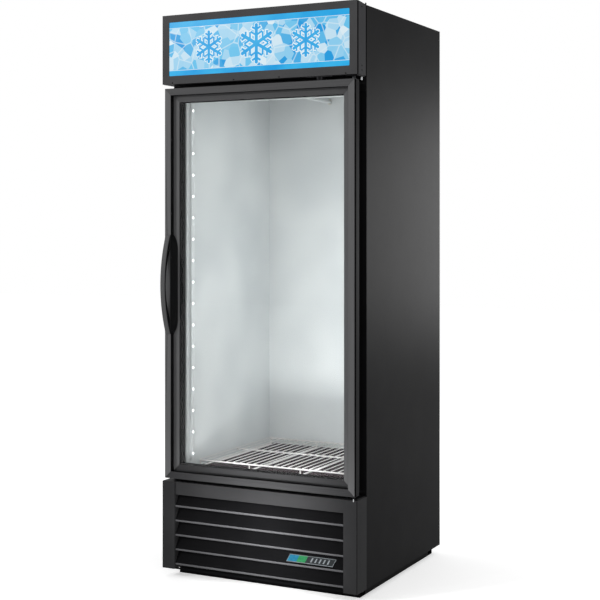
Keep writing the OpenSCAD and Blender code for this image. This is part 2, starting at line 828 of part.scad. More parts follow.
// Corner blocks in the hollow right stile, bored for the hinge pins, with collars in the gaps
module hinge_bushings() {
    r = pin_d / 2 + pin_clear;
    x0 = door_x - face_w + member_t + block_air;
    x1 = door_x - member_t - block_air;
    y0 = front_y + member_t + block_air;
    y1 = front_y + member_d - member_t - block_air;
    collar_r = collar_d / 2;
    low = door_lo + member_t + block_air;
    high = door_hi - member_t - block_air;
    color([0.75, 0.75, 0.74]) {
        difference() {
            union() {
                block([x0, y0, low], [x1, y1, low + block_h]);
                rod_z(axis_x, axis_y, collar_r, post_top + plate_t + 0.3, low + 1);
            }
            rod_z(axis_x, axis_y, r, post_top, low + block_h + 1);
        }
        difference() {
            union() {
                block([x0, y0, high - block_h], [x1, y1, high]);
                rod_z(axis_x, axis_y, collar_r, high - 1, sign_z - plate_t - 0.3);
            }
            rod_z(axis_x, axis_y, r, high - block_h - 1, sign_z);
        }
    }
}

// Torsion rod in the right stile, with the block that anchors its upper end
module closer_rod() {
    z0 = door_lo + member_t + block_air + block_h + air;
    x0 = door_x - face_w + member_t + block_air;
    x1 = door_x - member_t - block_air;
    color(zinc) union() {
        rod_z(axis_x, axis_y, rod_d / 2, z0, z0 + rod_len);
        block([x0, front_y + member_t + block_air, z0 + rod_len - 30],
              [x1, front_y + member_d - member_t - block_air, z0 + rod_len]);
    }
}

// ---------- door ----------

// Profile of the aluminium members as [depth, width]: a hollow box and the stepped-back lip
module member_profile() {
    difference() {
        polygon([[0, 0], [member_d, 0], [member_d, face_w], [step_d + lip_t, face_w],
                 [step_d + lip_t, lip_edge], [step_d, lip_edge], [step_d, face_w], [0, face_w]]);
        translate([member_t, member_t]) square([member_d - 2 * member_t, face_w - 2 * member_t]);
    }
}

module door_member(side) {
    washer_r = screw_r + 3;
    inner_y = front_y + member_d - member_t;
    color(black_coat) difference() {
        door_side(side) member_profile();
        if (side != "left") for (z = [door_lo - 1, door_hi - member_t - 1])
            rod_z(axis_x, axis_y, collar_d / 2 + block_air, z, z + member_t + 2);
        if (side == "left") for (s = [-1, 1]) {
            rod_y(screw_x, handle_z + s * screw_z, screw_r + shaft_clear, front_y - 1, front_y + member_t + 1);
            rod_y(screw_x, handle_z + s * screw_z, washer_r, inner_y - 1, inner_y + member_t + 1);
        }
    }
}

module door_stile_left() { door_member("left"); }
module door_stile_right() { door_member("right"); }
module door_rail_top() { door_member("top"); }
module door_rail_bottom() { door_member("bottom"); }

// Dark inner frame that holds the glazing from behind, with the lock's wedge-shaped strike on its top
module door_inner_frame() {
    strike_half = 14;
    strike_t = [10, 3];                  // thickness at the foot and at the top
    strike_air = 2;
    strike_foot = door_hi - inner_frame_inset + 0.05;
    color(black_plastic) {
        door_ring(lip_edge) polygon([
            [member_d, inner_frame_inset], [inner_frame_back, inner_frame_inset], [inner_frame_back, lip_edge],
            [glass_back, lip_edge], [glass_back, face_w], [member_d, face_w]]);
        translate([lock_x - strike_half, 0, 0]) rotate([90, 0, 90]) linear_extrude(2 * strike_half) polygon([
            [strike_y, strike_foot], [strike_y + strike_t[0], strike_foot],
            [strike_y + strike_t[1], door_hi - strike_air], [strike_y, door_hi - strike_air]]);
    }
}

module door_glass() {
    x = door_x - pane_in;
    color([0.80, 0.90, 0.90, 0.35]) for (y = [pane_y1, pane_y2])
        block([-x, y, door_lo + pane_in], [x, y + pane_t, door_hi - pane_in]);
}

module glass_spacer() {
    d0 = pane_y1 + pane_t - front_y;
    d1 = pane_y2 - front_y;
    color(black_plastic) door_ring(lip_edge)
        polygon([[d0, pane_in + 4], [d1, pane_in + 4], [d1, lip_edge - 3], [d0, lip_edge - 3]]);
}

module door_gasket() {
    d0 = inner_frame_back;
    d1 = front_depth - gasket_gap;
    w0 = gasket_inset;
    w1 = gasket_inset + gasket_w;
    color([0.13, 0.13, 0.14]) door_ring(w1) polygon([
        [d0, w0], [d0 + 3, w0], [d0 + 4, w0 + 2], [d1 - 1, w0 + 2], [d1, w0 + 3],
        [d1, w1 - 3], [d1 - 1, w1 - 2], [d0 + 4, w1 - 2], [d0 + 3, w1], [d0, w1]]);
}

// Radius of a circle that cuts a chord of half length a with a rise of s
function bow_radius(a, s) = (a * a + s * s) / (2 * s);

// Bow handle with a finger gap, a back plate on the door's face and a wing in the door's step
module handle() {
    half = handle_len / 2;
    r_out = bow_radius(half, handle_out);
    r_in = bow_radius(grip_len / 2, grip_depth - backplate_t);
    x0 = -door_x + handle_in;
    x1 = x0 + handle_w;
    step_x = -door_x + face_w;
    color(black_plastic) difference() {
        union() {
            intersection() {
                translate([0, front_y - handle_out + r_out, handle_z]) rotate([0, 90, 0])
                    translate([0, 0, x0]) cylinder(r = r_out, h = handle_w, $fn = 2 * fine);
                block([x0, front_y - handle_out - 1, handle_z - half], [x1, front_y, handle_z + half]);
            }
            block([x0, front_y - backplate_t, handle_z - half], [step_x, front_y, handle_z + half]);
            handle_wing(step_x, half);
        }
        intersection() {
            translate([x0 - 1, front_y - grip_depth + r_in, handle_z]) rotate([0, 90, 0])
                cylinder(r = r_in, h = handle_w + 2, $fn = 2 * fine);
            block([x0 - 1, front_y - handle_out, handle_z - half],
                  [x1 + 1, front_y - backplate_t, handle_z + half]);
        }
        for (s = [-1, 1])
            rod_y(screw_x, handle_z + s * screw_z, screw_r + shaft_clear, front_y - 9, front_y + 1);
    }
}

// The wing slopes from the back plate down into the door's step, with rounded shoulders at both ends
module handle_wing(step_x, half) {
    shoulder_r = 12;
    shoulder_z = half - 40;
    tip_x = step_x + wing_reach;
    edge_t = 3;
    intersection() {
        translate([0, 0, handle_z - half]) linear_extrude(handle_len) polygon([
            [step_x - 1, front_y - backplate_t], [step_x + 2, front_y - backplate_t],
            [tip_x, front_y + step_d - edge_t], [tip_x, front_y + step_d],
            [step_x, front_y + step_d], [step_x, front_y], [step_x - 1, front_y]]);
        plate_y(front_y - handle_out, front_y + step_d + 1) polygon(concat(
            [[step_x - 2, handle_z - half], [step_x + edge_t, handle_z - half]],
            arc([tip_x - shoulder_r, handle_z - shoulder_z], shoulder_r, -50, 0),
            arc([tip_x - shoulder_r, handle_z + shoulder_z], shoulder_r, 0, 50),
            [[step_x + edge_t, handle_z + half], [step_x - 2, handle_z + half]]));
    }
}

module handle_screws() {
    color(zinc) for (s = [-1, 1]) {
        rod_y(screw_x, handle_z + s * screw_z, screw_r, front_y - 8, front_y + member_t);
        rod_y(screw_x, handle_z + s * screw_z, screw_r + 2, front_y + member_t, front_y + member_t + 3);
    }
}

// ---------- lower front ----------

// A folded sheet post, open at the back, with a cap
module post() {
    flange_short = 20;
    x0 = -half_w;
    x1 = -half_w + post_w;
    color(black_coat) union() {
        block([x0, front_y, base_h], [x1, front_y + post_t, post_top]);
        block([x0, front_y, base_h], [x0 + post_t, cab_y, post_top]);
        block([x1 - post_t, front_y, base_h], [x1, cab_y - flange_short, post_top]);
        block([x0, front_y, post_top - post_t], [x1, cab_y - plate_t - 1, post_top]);
    }
}

module front_posts() {
    post();
    mirror([1, 0, 0]) post();
}

// Height of a slat's lip, counted from the top
function slat_z(i) = band_z - first_lip_drop - i * slat_pitch;

// Profile of a slat in Y and Z: its outer face leaves the rounded lip almost along a tangent
module slat_profile() {
    circle(r = slat_lip_r, $fn = fine);
    rotate(-slat_angle) translate([-slat_face, 0]) square([slat_t, slat_rise / cos(slat_angle)]);
}

module louvre_grille() {
    x = grille_x - 0.3;
    top = post_top - post_t;
    top_fold = 20;
    end_depth = slat_depth + 6;
    sill_h = 6;
    color(black_coat) union() {
        block([-x, grille_y, band_z], [x, grille_y + post_t, post_top]);
        block([-x, grille_y, top], [x, grille_y + top_fold, post_top]);
        for (s = [0, 1]) mirror([s, 0, 0])
            block([-x, grille_y + 1, base_h], [-x + post_t, grille_y + end_depth, post_top]);
        for (i = [0:slat_count - 1])
            translate([-x + 0.5, grille_y + slat_lip_r, slat_z(i)])
                rotate([90, 0, 90]) linear_extrude(2 * x - 1) slat_profile();
        block([-x, grille_y + 1, base_h], [x, grille_y + 1 + post_t, base_h + sill_h]);
    }
}

// A plain slanted plate on one of the slats
module badge_plate() {
    y = grille_y + slat_lip_r;
    z = slat_z(badge_slat);
    lift = slat_lip_r + 1.9;   // the plate starts just above the lip
    seat = 0.05;
    color([0.35, 0.36, 0.38])
        translate([badge_right, y, z]) rotate([-slat_angle, 0, 0])
            translate([0, -slat_face - seat - badge_t, lift]) plate_y(0, badge_t)
                polygon([[-badge_len, 0], [-badge_slant, 0], [0, badge_h], [badge_slant - badge_len, badge_h]]);
}

// ---------- evaporator ----------

module evap_housing() {
    t = 1.2;
    z1 = cabin_top;
    rail = 14;
    window = [switch_w / 2 + 3.5, 13];   // half sizes of the opening for the switch
    color(white_coat) union() {
        difference() {
            block([-evap_x, evap_y, evap_z], [evap_x, evap_y + t, z1]);
            for (s = [-1, 1])
                rod_y(s * evap_fan_x, evap_fan_z, evap_fan_d / 2 + 4, evap_y - 1, evap_y + t + 1);
            block([switch_x - window[0], evap_y - 1, control_z - window[1]],
                  [switch_x + window[0], evap_y + t + 1, control_z + window[1]]);
        }
        for (s = [0, 1]) mirror([s, 0, 0]) {
            block([-evap_x, evap_y, evap_z], [-evap_x + t, evap_rear, z1]);
            block([-evap_x, evap_y, z1 - t], [-evap_x + rail, evap_rear, z1]);
            block([-evap_x, evap_y, evap_z], [-evap_x + rail, evap_rear, evap_z + t]);
        }
        rod_y(knob_x, control_z, knob_pin_r, evap_y - 12, evap_y);
        switch_frame();
    }
}

// Bezel and bearing cheeks of the rocker switch
module switch_frame() {
    outer = [12, 15];            // half width and half height of the bezel
    inner = [switch_w / 2 + 1, 12.5];
    proud = 2;
    deep = 14;
    difference() {
        block([switch_x - outer[0], evap_y - proud, control_z - outer[1]],
              [switch_x + outer[0], evap_y + deep, control_z + outer[1]]);
        block([switch_x - inner[0], evap_y - proud - 1, control_z - inner[1]],
              [switch_x + inner[0], evap_y + deep - 1.5, control_z + inner[1]]);
    }
    for (s = [0, 1]) translate([switch_x, 0, 0]) mirror([s, 0, 0])
        rod_x(evap_y + 1, control_z, pivot_r, -inner[0] - 0.1, 0.5 - switch_w / 2);
}

// A rocker with two flat faces, drawn with its upper face pressed in
module light_switch() {
    tilt = 8;
    cut = 2 * switch_r;
    face_drop = 4.5;
    color(black_plastic) translate([switch_x, evap_y + 1, control_z]) rotate([-tilt, 0, 0]) difference() {
        rotate([0, 90, 0]) translate([0, 0, -switch_w / 2]) cylinder(r = switch_r, h = switch_w, $fn = fine);
        for (s = [0, 1]) mirror([0, 0, s]) rotate([-tilt, 0, 0])
            translate([-cut / 2, -cut - face_drop, -eps]) cube(cut);
        rotate([0, 90, 0]) translate([0, 0, -switch_w])
            cylinder(r = pivot_r + pin_clear, h = 2 * switch_w, $fn = fine);
    }
}

module thermostat_knob() {
    knob_h = 14;
    base = evap_y - 0.5;
    rib_half = 2;
    rib_rise = 3.5;
    color([0.85, 0.86, 0.86]) difference() {
        union() {
            rod_y(knob_x, control_z, knob_r, base - knob_h, base);
            block([knob_x - rib_half, base - knob_h - rib_rise, control_z - knob_r + 2],
                  [knob_x + rib_half, base - knob_h + 0.5, control_z + knob_r - 1]);
        }
        rod_y(knob_x, control_z, knob_pin_r + shaft_clear, base - 12, base + 1);
    }
}

// Finned block between two end plates, with return bends on both sides
module evap_coil() {
    x = evap_x - 45;
    y1 = evap_coil_y + evap_coil_d;
    margin = 22;                 // from the drip tray and the ceiling
    z0 = evap_z + margin;
    z1 = cabin_top - margin;
    plate = 2;
    bend_r = 12;
    rows = 3;
    first = [28, 34];            // first bend, from the block's front and underside
    step = [(evap_coil_d - 2 * first[0]) / 2, (z1 - z0 - 2 * first[1]) / (rows - 1)];
    color([0.78, 0.80, 0.81]) union() {
        block([-x, evap_coil_y, z0], [x, y1, z1]);
        for (s = [0, 1]) mirror([s, 0, 0]) {
            block([-x - plate, evap_coil_y, z0], [-x, y1, cabin_top]);
            block([-x - plate - coil_end, evap_coil_y, cabin_top - plate], [-x, y1, cabin_top]);
            for (i = [0:rows - 1], k = [0:2])
                translate([-x - plate, evap_coil_y + first[0] + k * step[0], z0 + first[1] + i * step[1]])
                    rotate([0, 0, 90]) rotate([90, 0, 90]) return_bend(bend_r);
        }
    }
}

// Half a torus whose two legs end on the plane through its centre, bulging along -X when placed
module return_bend(bend_r) {
    rotate_extrude(angle = 180, $fn = fine) translate([bend_r, 0]) circle(r = bend_tube_r, $fn = fine);
}

// A fan motor with its shaft and the strap that holds it to the plate in front
module fan_motor(x) {
    can_r = 26;
    strap_x = 9;
    strap_t = 2;
    strap = evap_fan_d / 2 + 10;
    union() {
        rod_y(x, evap_fan_z, can_r, motor_y, motor_y + evap_motor_len);
        rod_y(x, evap_fan_z, shaft_r, motor_y - 22, motor_y);
        block([x - strap_x, motor_y, evap_fan_z - strap], [x + strap_x, motor_y + strap_t, evap_fan_z + strap]);
        for (s = [-1, 1])
            block([x - strap_x, evap_y + 1.2, evap_fan_z + s * strap - strap_t / 2],
                  [x + strap_x, motor_y + strap_t, evap_fan_z + s * strap + strap_t / 2]);
    }
}

module evap_fan_motors() {
    color([0.25, 0.25, 0.26]) for (s = [-1, 1]) fan_motor(s * evap_fan_x);
}

// Hub and swept flat blades about a Y axis
module fan(x, y, z, tip_r, hub_r, depth, blades, pitch) {
    blade_half = 0.8;
    root = hub_r * 0.8;
    sweep = 22;                  // half the angle of a blade's tip
    translate([x, y, z]) difference() {
        union() {
            rod_y(0, 0, hub_r, 0, depth);
            for (i = [0:blades - 1]) rotate([0, i * 360 / blades, 0])
                translate([0, depth / 2, 0]) rotate([0, 0, pitch]) plate_y(-blade_half, blade_half)
                    polygon(concat([[-root / 2, root], [root / 2, root]],
                                   arc([0, 0], tip_r, 90 - sweep, 90 + sweep, 8)));
        }
        rod_y(0, 0, shaft_r + shaft_clear, -1, depth + 1);
    }
}

module evap_fan(side) {
    color([0.70, 0.71, 0.72])
        fan(side * evap_fan_x, motor_y - 21, evap_fan_z, evap_fan_d / 2, 16, 14, 5, 24);
}

module evap_fan_left() { evap_fan(-1); }
module evap_fan_right() { evap_fan(1); }

// Wire guards in front of the evaporator fans: rings joined by spokes
module evap_fan_guards() {
    wire = 2.2;
    rings = 5;
    y0 = evap_y - 7;
    y1 = y0 + wire;
    r = evap_fan_d / 2 + 8;
    color(zinc) for (s = [-1, 1]) translate([s * evap_fan_x, 0, evap_fan_z]) union() {
        for (k = [1:rings]) difference() {
            rod_y(0, 0, k * r / rings, y0, y1);
            rod_y(0, 0, k * r / rings - wire, y0 - 1, y1 + 1);
        }
        for (a = [0:45:135])
            rotate([0, a, 0]) block([-r + 1, y1 - wire / 2, -wire / 2], [r - 1, y1 + wire / 2, wire / 2]);
        for (a = [45:90:315])
            rotate([0, a, 0]) block([r - wire, y1 - wire / 2, -wire / 2], [r, evap_y, wire / 2]);
    }
}

module evap_drain_pan() {
    t = 1.2;
    z0 = evap_z - drip_h;
    x = evap_x - 2;
    y1 = evap_coil_y + evap_coil_d + 30;
    pipe_z = evap_z - drip_h / 2;
    color(white_coat) union() {
        difference() {
            block([-x, evap_y + 2, z0], [x, y1, evap_z]);
            block([-x + t, evap_y + 2 + t, z0 + t], [x - t, y1 - t, evap_z + 1]);
        }
        rod_y(drain_x, pipe_z, drain_r, y1 - t, chase_y);
        rod_z(drain_x, chase_y, drain_r, tray_top + pan_h + 6, pipe_z);
        translate([drain_x, chase_y, pipe_z]) sphere(r = drain_r + 1, $fn = fine);
    }
}

// ---------- machine compartment ----------

module unit_tray() {
    x = tray_w / 2;
    rim = 10;
    color(zinc) union() {
        block([-x, tray_y0, tray_z], [x, tray_y1, tray_top]);
        for (s = [0, 1]) mirror([s, 0, 0])
            block([-x, tray_y0, tray_z], [-x + tray_t, tray_y1, tray_top + rim]);
    }
}

module compressor_grommets() {
    grommet_r = 13;
    color([0.07, 0.07, 0.07]) for (p = grommet_spots)
        rod_z(p[0], p[1], grommet_r, tray_top, foot_plate_z);
}

// Hermetic compressor: domed shell with a weld seam, foot plate, terminal cover and pipe stubs
module compressor() {
    r = shell_d / 2;
    dome = 42;
    toe = 26;
    seam = 4;
    seam_z = [shell_h * 0.48, shell_h * 0.52];
    foot = [112, 76];            // half sizes of the foot plate
    cap = [34, 30, 60, 125];     // terminal cover: how far out, half width, lower and upper edge
    color([0.09, 0.09, 0.09]) union() {
        translate([shell_x, comp_y, comp_z]) rotate_extrude($fn = fine) polygon(concat(
            [[0, 0], [r * 0.55, 0]],
            arc([r - toe, toe], toe, -70, 0),
            [[r, seam_z[0]], [r + seam, seam_z[0]], [r + seam, seam_z[1]], [r, seam_z[1]]],
            arc([r - dome, shell_h - dome], dome, 0, 75),
            [[0, shell_h]]));
        block([shell_x - foot[0], comp_y - foot[1], foot_plate_z],
              [shell_x + foot[0], comp_y + foot[1], comp_z + 1]);
        block([shell_x - r - cap[0], comp_y - cap[1], comp_z + cap[2]],
              [shell_x - r + 14, comp_y + cap[1], comp_z + cap[3]]);
        rod_y(stub_cold[0], stub_cold[2], 7, comp_y + r - 12, stub_cold[1]);
        rod_y(stub_hot[0], stub_hot[2], 5, stub_hot[1], comp_y - r + 14);
    }
}

// Finned block on a frame, with return bends at both ends
module condenser_coil() {
    x = cond_w / 2;
    z0 = tray_top + 6;
    plate = 2;
    rows = 7;
    first = 22;
    bend_r = 13;
    gap = (cond_h - 2 * first) / (rows - 1);
    color([0.55, 0.56, 0.57]) union() {
        block([-x, cond_y, z0], [x, cond_y + cond_d, z0 + cond_h]);
        for (s = [0, 1]) mirror([s, 0, 0]) {
            block([-x - plate, cond_y, tray_top], [-x, cond_y + cond_d, z0 + cond_h]);
            for (i = [0:rows - 1])
                translate([-x - plate, cond_y + cond_d / 2, z0 + first + i * gap])
                    rotate([0, 0, 90]) rotate([90, 0, 90]) return_bend(bend_r);
        }
    }
}

// A box round the fan that draws air through the condenser
module condenser_shroud() {
    x = cond_w / 2;
    t = 1.2;
    z0 = tray_top;
    z1 = tray_top + 6 + cond_h;
    y0 = shroud_y + air;
    y1 = shroud_y + shroud_d;
    color(zinc) union() {
        difference() {
            block([-x, y1 - t, z0], [x, y1, z1]);
            rod_y(0, fan_axis_z, cond_fan_d / 2 + 5, y1 - t - 1, y1 + 1);
        }
        for (s = [0, 1]) mirror([s, 0, 0]) block([-x, y0, z0], [-x + t, y1, z1]);
        block([-x, y0, z1 - t], [x, y1, z1]);
    }
}

module condenser_fan_motor() {
    can_r = 42;
    leg_x = 34;
    leg_y = cond_motor_y + 14;
    leg_t = 3;
    foot_y = [cond_motor_y - 6, cond_motor_y + 40];
    color([0.20, 0.20, 0.21]) union() {
        rod_y(0, fan_axis_z, can_r, cond_motor_y, cond_motor_y + cond_motor_len);
        rod_y(0, fan_axis_z, shaft_r, cond_motor_y - 26, cond_motor_y);
        block([-leg_x, leg_y, tray_top], [leg_x, leg_y + leg_t, fan_axis_z]);
        block([-leg_x, foot_y[0], tray_top], [leg_x, foot_y[1], tray_top + leg_t]);
    }
}

module condenser_fan() {
    color([0.62, 0.63, 0.64])
        fan(0, cond_motor_y - 25, fan_axis_z, cond_fan_d / 2, 22, 18, 5, 26);
}

// A tube from point a to point b
module tube(a, b, r) {
    way = b - a;
    translate(a) rotate([0, acos(way[2] / norm(way)), atan2(way[1], way[0])])
        cylinder(r = r, h = norm(way), $fn = fine);
}

// Straight tubes through a list of points, with a round brazed joint at each corner
module line_run(points, r) {
    last = len(points) - 1;
    union() {
        for (i = [0:last - 1]) tube(points[i], points[i + 1], r);
        for (i = [1:last - 1]) translate(points[i]) sphere(r = r * 1.2, $fn = fine);
    }
}

// Discharge, liquid and suction lines, with the filter-drier in the liquid line
module refrigerant_lines() {
    r = line_d / 2;
    drier_r = 13;
    drier_neck_r = 5;
    drier_half = 40;
    neck = 12;
    right = cond_w / 2 + 20;
    side_y = cond_y + 12;
    low = tray_top + 48;
    high = tray_top + cond_h - 20;
    hot_y = stub_hot[1] - 22;
    drier_end = drier_x - drier_half - neck;
    color([0.72, 0.42, 0.25]) {
        line_run([stub_hot, [stub_hot[0], hot_y, stub_hot[2]], [right, hot_y, stub_hot[2]],
                  [right, hot_y, high], [right, side_y, high], [cond_w / 2 + 2, side_y, high]], r);
        union() {
            line_run([[-cond_w / 2 - 2, side_y, low], [-right, side_y, low], [-right, drier_y, low],
                      [-right, drier_y, drier_z], [drier_end + 1, drier_y, drier_z]], r * 0.8);
            rod_x(drier_y, drier_z, drier_r, drier_x - drier_half, drier_x + drier_half);
            rod_x(drier_y, drier_z, drier_neck_r, drier_end, drier_x + drier_half + neck);
        }
        line_run([stub_cold, [stub_cold[0], chase_y, stub_cold[2]],
                  [suction_x, chase_y, stub_cold[2]], [suction_x, chase_y, evap_fan_z],
                  [suction_x, evap_coil_y + evap_coil_d, evap_fan_z]], r);
    }
}

module control_box() {
    size = [66, 130, 130];
    lid_t = 3;
    lap = 1.5;
    x0 = -tray_w / 2 + 4;
    y0 = shroud_y + 70;
    z1 = tray_top + size[2];
    color([0.50, 0.51, 0.52]) union() {
        block([x0, y0, tray_top], [x0 + size[0], y0 + size[1], z1]);
        block([x0 - lap, y0 - lap, z1], [x0 + size[0] + lap, y0 + size[1] + lap, z1 + lid_t]);
    }
}

module condensate_pan() {
    t = 1.5;
    color([0.30, 0.30, 0.31]) difference() {
        block([pan_x0, pan_y0, tray_top], [pan_x1, pan_y1, tray_top + pan_h]);
        block([pan_x0 + t, pan_y0 + t, tray_top + t], [pan_x1 - t, pan_y1 - t, tray_top + pan_h + 1]);
    }
}

// Plastic gland in the rear cover where the supply lead would leave
module power_inlet_gland() {
    bore_r = 4.5;
    inner_len = 12;
    flange_y = cover_y + sheet_t;
    flange_t = 3.5;
    color(black_plastic) difference() {
        union() {
            rod_y(gland_x, gland_z, gland_r, cover_y - inner_len, flange_y);
            rod_y(gland_x, gland_z, gland_r + 4, flange_y, flange_y + flange_t);
        }
        rod_y(gland_x, gland_z, bore_r, cover_y - inner_len - 1, flange_y + flange_t + 1);
    }
}

// ---------- floor rack ----------

module floor_rack() {
    x1 = cabin_x - rack_side_gap;
    y0 = cab_y + rack_front_gap;
    y1 = cabin_y - rack_rear_gap;
    fr = frame_wire_d / 2;
    dr = deck_wire_d / 2;
    z_deck = floor_z + rack_h - dr;
    z_frame = z_deck - dr - fr + 0.6;
    z_runner = floor_z + fr + 0.2;
    leg_r = fr - 0.4;
    runners = 3;
    color([0.95, 0.95, 0.94]) union() {
        for (y = [y0, (y0 + y1) / 2, y1]) rod_x(y, z_frame, fr, -x1 - fr, x1 + fr);
        for (i = [0:runners]) {
            x = -x1 + 2 * x1 * i / runners;
            rod_y(x, z_runner, fr, y0 - 0.4, y1 + 0.4);
            for (y = [y0, y1]) rod_z(x, y, leg_r, z_runner, z_frame);
        }
        for (i = [0:deck_wires - 1])
            rod_y(-x1 + 2 * x1 * i / (deck_wires - 1), z_deck, dr, y0 - 1.6, y1 + 1.6);
    }
}

// ---------- assembly ----------

base_frame();
side_panel_left();
side_panel_right();
back_panel();
top_panel();
rear_service_cover();
cross_panels();
foam_insulation();
cabin_liner();
cabin_floor();
breaker_strips();
header_box();
sign_bezel();
sign_panel();
led_bars();
cover_screws();
hinge_bracket_top();
hinge_bracket_bottom();
door_lock_housing();
door_lock_cam();
front_posts();
louvre_grille();
badge_plate();
evap_housing();
evap_coil();
evap_fan_motors();
evap_fan_guards();
evap_drain_pan();
unit_tray();
compressor();
compressor_grommets();
condenser_coil();
condenser_shroud();
condenser_fan_motor();
refrigerant_lines();
control_box();
condensate_pan();
power_inlet_gland();
leveller(-1, 0);  // leveller_front_left
leveller(1, 0);  // leveller_front_right
leveller(-1, 1);  // leveller_rear_left
leveller(1, 1);  // leveller_rear_right
evap_fan_left();
evap_fan_right();
condenser_fan();
light_switch();
thermostat_knob();
floor_rack();
door_stile_left();
door_stile_right();
door_rail_top();
door_rail_bottom();
door_inner_frame();
door_glass();
glass_spacer();
door_gasket();
handle();
handle_screws();
hinge_bushings();
closer_rod();
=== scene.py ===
"""Looks of a one-door ice merchandiser, built round its packed construction model.

Everything is in metres in the model's own frame: +X is right, +Y is to the rear and +Z is up. The door faces
-Y, and the origin lies at floor level under the middle of the overall box.
"""

import logging
import math
from dataclasses import dataclass
from enum import Enum
from typing import Any, Sequence

import bmesh
import bpy
from mathutils import Matrix, Vector


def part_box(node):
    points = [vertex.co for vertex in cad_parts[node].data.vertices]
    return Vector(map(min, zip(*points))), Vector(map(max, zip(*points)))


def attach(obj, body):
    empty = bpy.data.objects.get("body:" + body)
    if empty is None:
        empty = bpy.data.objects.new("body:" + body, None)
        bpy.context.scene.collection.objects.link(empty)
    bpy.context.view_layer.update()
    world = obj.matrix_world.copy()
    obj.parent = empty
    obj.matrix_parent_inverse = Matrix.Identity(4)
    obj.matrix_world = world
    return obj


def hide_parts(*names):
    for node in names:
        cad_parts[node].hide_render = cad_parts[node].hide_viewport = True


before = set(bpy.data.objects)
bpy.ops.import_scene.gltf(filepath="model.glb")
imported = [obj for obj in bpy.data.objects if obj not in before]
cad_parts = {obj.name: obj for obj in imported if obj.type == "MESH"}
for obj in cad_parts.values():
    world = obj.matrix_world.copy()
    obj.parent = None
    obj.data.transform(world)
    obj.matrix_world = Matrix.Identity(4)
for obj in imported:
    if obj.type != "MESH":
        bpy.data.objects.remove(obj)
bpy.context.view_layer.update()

Tree = bpy.types.NodeTree
Node = bpy.types.Node
Socket = bpy.types.NodeSocket
Stops = Sequence[tuple[float, str]]
Points = Sequence[tuple[float, float]]

MM = 0.001
SIDES = (-1, 1)
SHARP_DEG = 35.0
ROUNDED_DEG = 40.0
WELD = 0.01 * MM
WHITE = "#ffffff"
MIX_COLOUR_OUTPUT = 2
LOG = logging.getLogger("merchandiser")


def linear(hex_code: str) -> tuple[float, float, float, float]:
    """Turns an sRGB colour into the linear values that shaders take.

    Args:
        hex_code: the colour as "#rrggbb".

    Returns:
        Linear red, green and blue, and an alpha of 1.
    """
    channels = [int(hex_code[i:i + 2], 16) / 255 for i in (1, 3, 5)]
    red, green, blue = [c / 12.92 if c <= 0.04045 else ((c + 0.055) / 1.055) ** 2.4 for c in channels]
    return red, green, blue, 1.0


def add(tree: Tree, kind: str, inputs: dict[Any, Any] | None = None, stops: Stops = (),
        **settings: Any) -> Node:
    """Adds a shader node with its settings and links.

    Args:
        tree: the node tree it goes into.
        kind: the node's type.
        inputs: a value or a socket to link, for each input by name or index.
        stops: colour stops as (position, hex colour), for a colour ramp.
        settings: attributes of the node itself.

    Returns:
        The new node.
    """
    node = tree.nodes.new(kind)
    for name, value in settings.items():
        setattr(node, name, value)
    for key, value in (inputs or {}).items():
        if isinstance(value, Socket):
            tree.links.new(value, node.inputs[key])
        else:
            node.inputs[key].default_value = value
    if stops:
        ramp = node.color_ramp
        while len(ramp.elements) < len(stops):
            ramp.elements.new(0.5)
        for element, (position, hex_code) in zip(ramp.elements, stops):
            element.position = position
            element.color = linear(hex_code)
    return node


def per_metre(size_mm: float) -> float:
    """Texture scale that gives features of this size, in mm, in object coordinates."""
    return 1.0 / (size_mm * MM)


def placed(name: str, data: bpy.types.ID) -> bpy.types.Object:
    """Makes an object and links it to the scene.

    Args:
        name: the object's name.
        data: its mesh, lamp or camera data.

    Returns:
        The new object.
    """
    made = bpy.data.objects.new(name, data)
    bpy.context.scene.collection.objects.link(made)
    return made


class Axis(Enum):
    """A direction of the frame, as an index into a vector."""

    X = 0
    Y = 1
    Z = 2


# ---------- finishes ----------


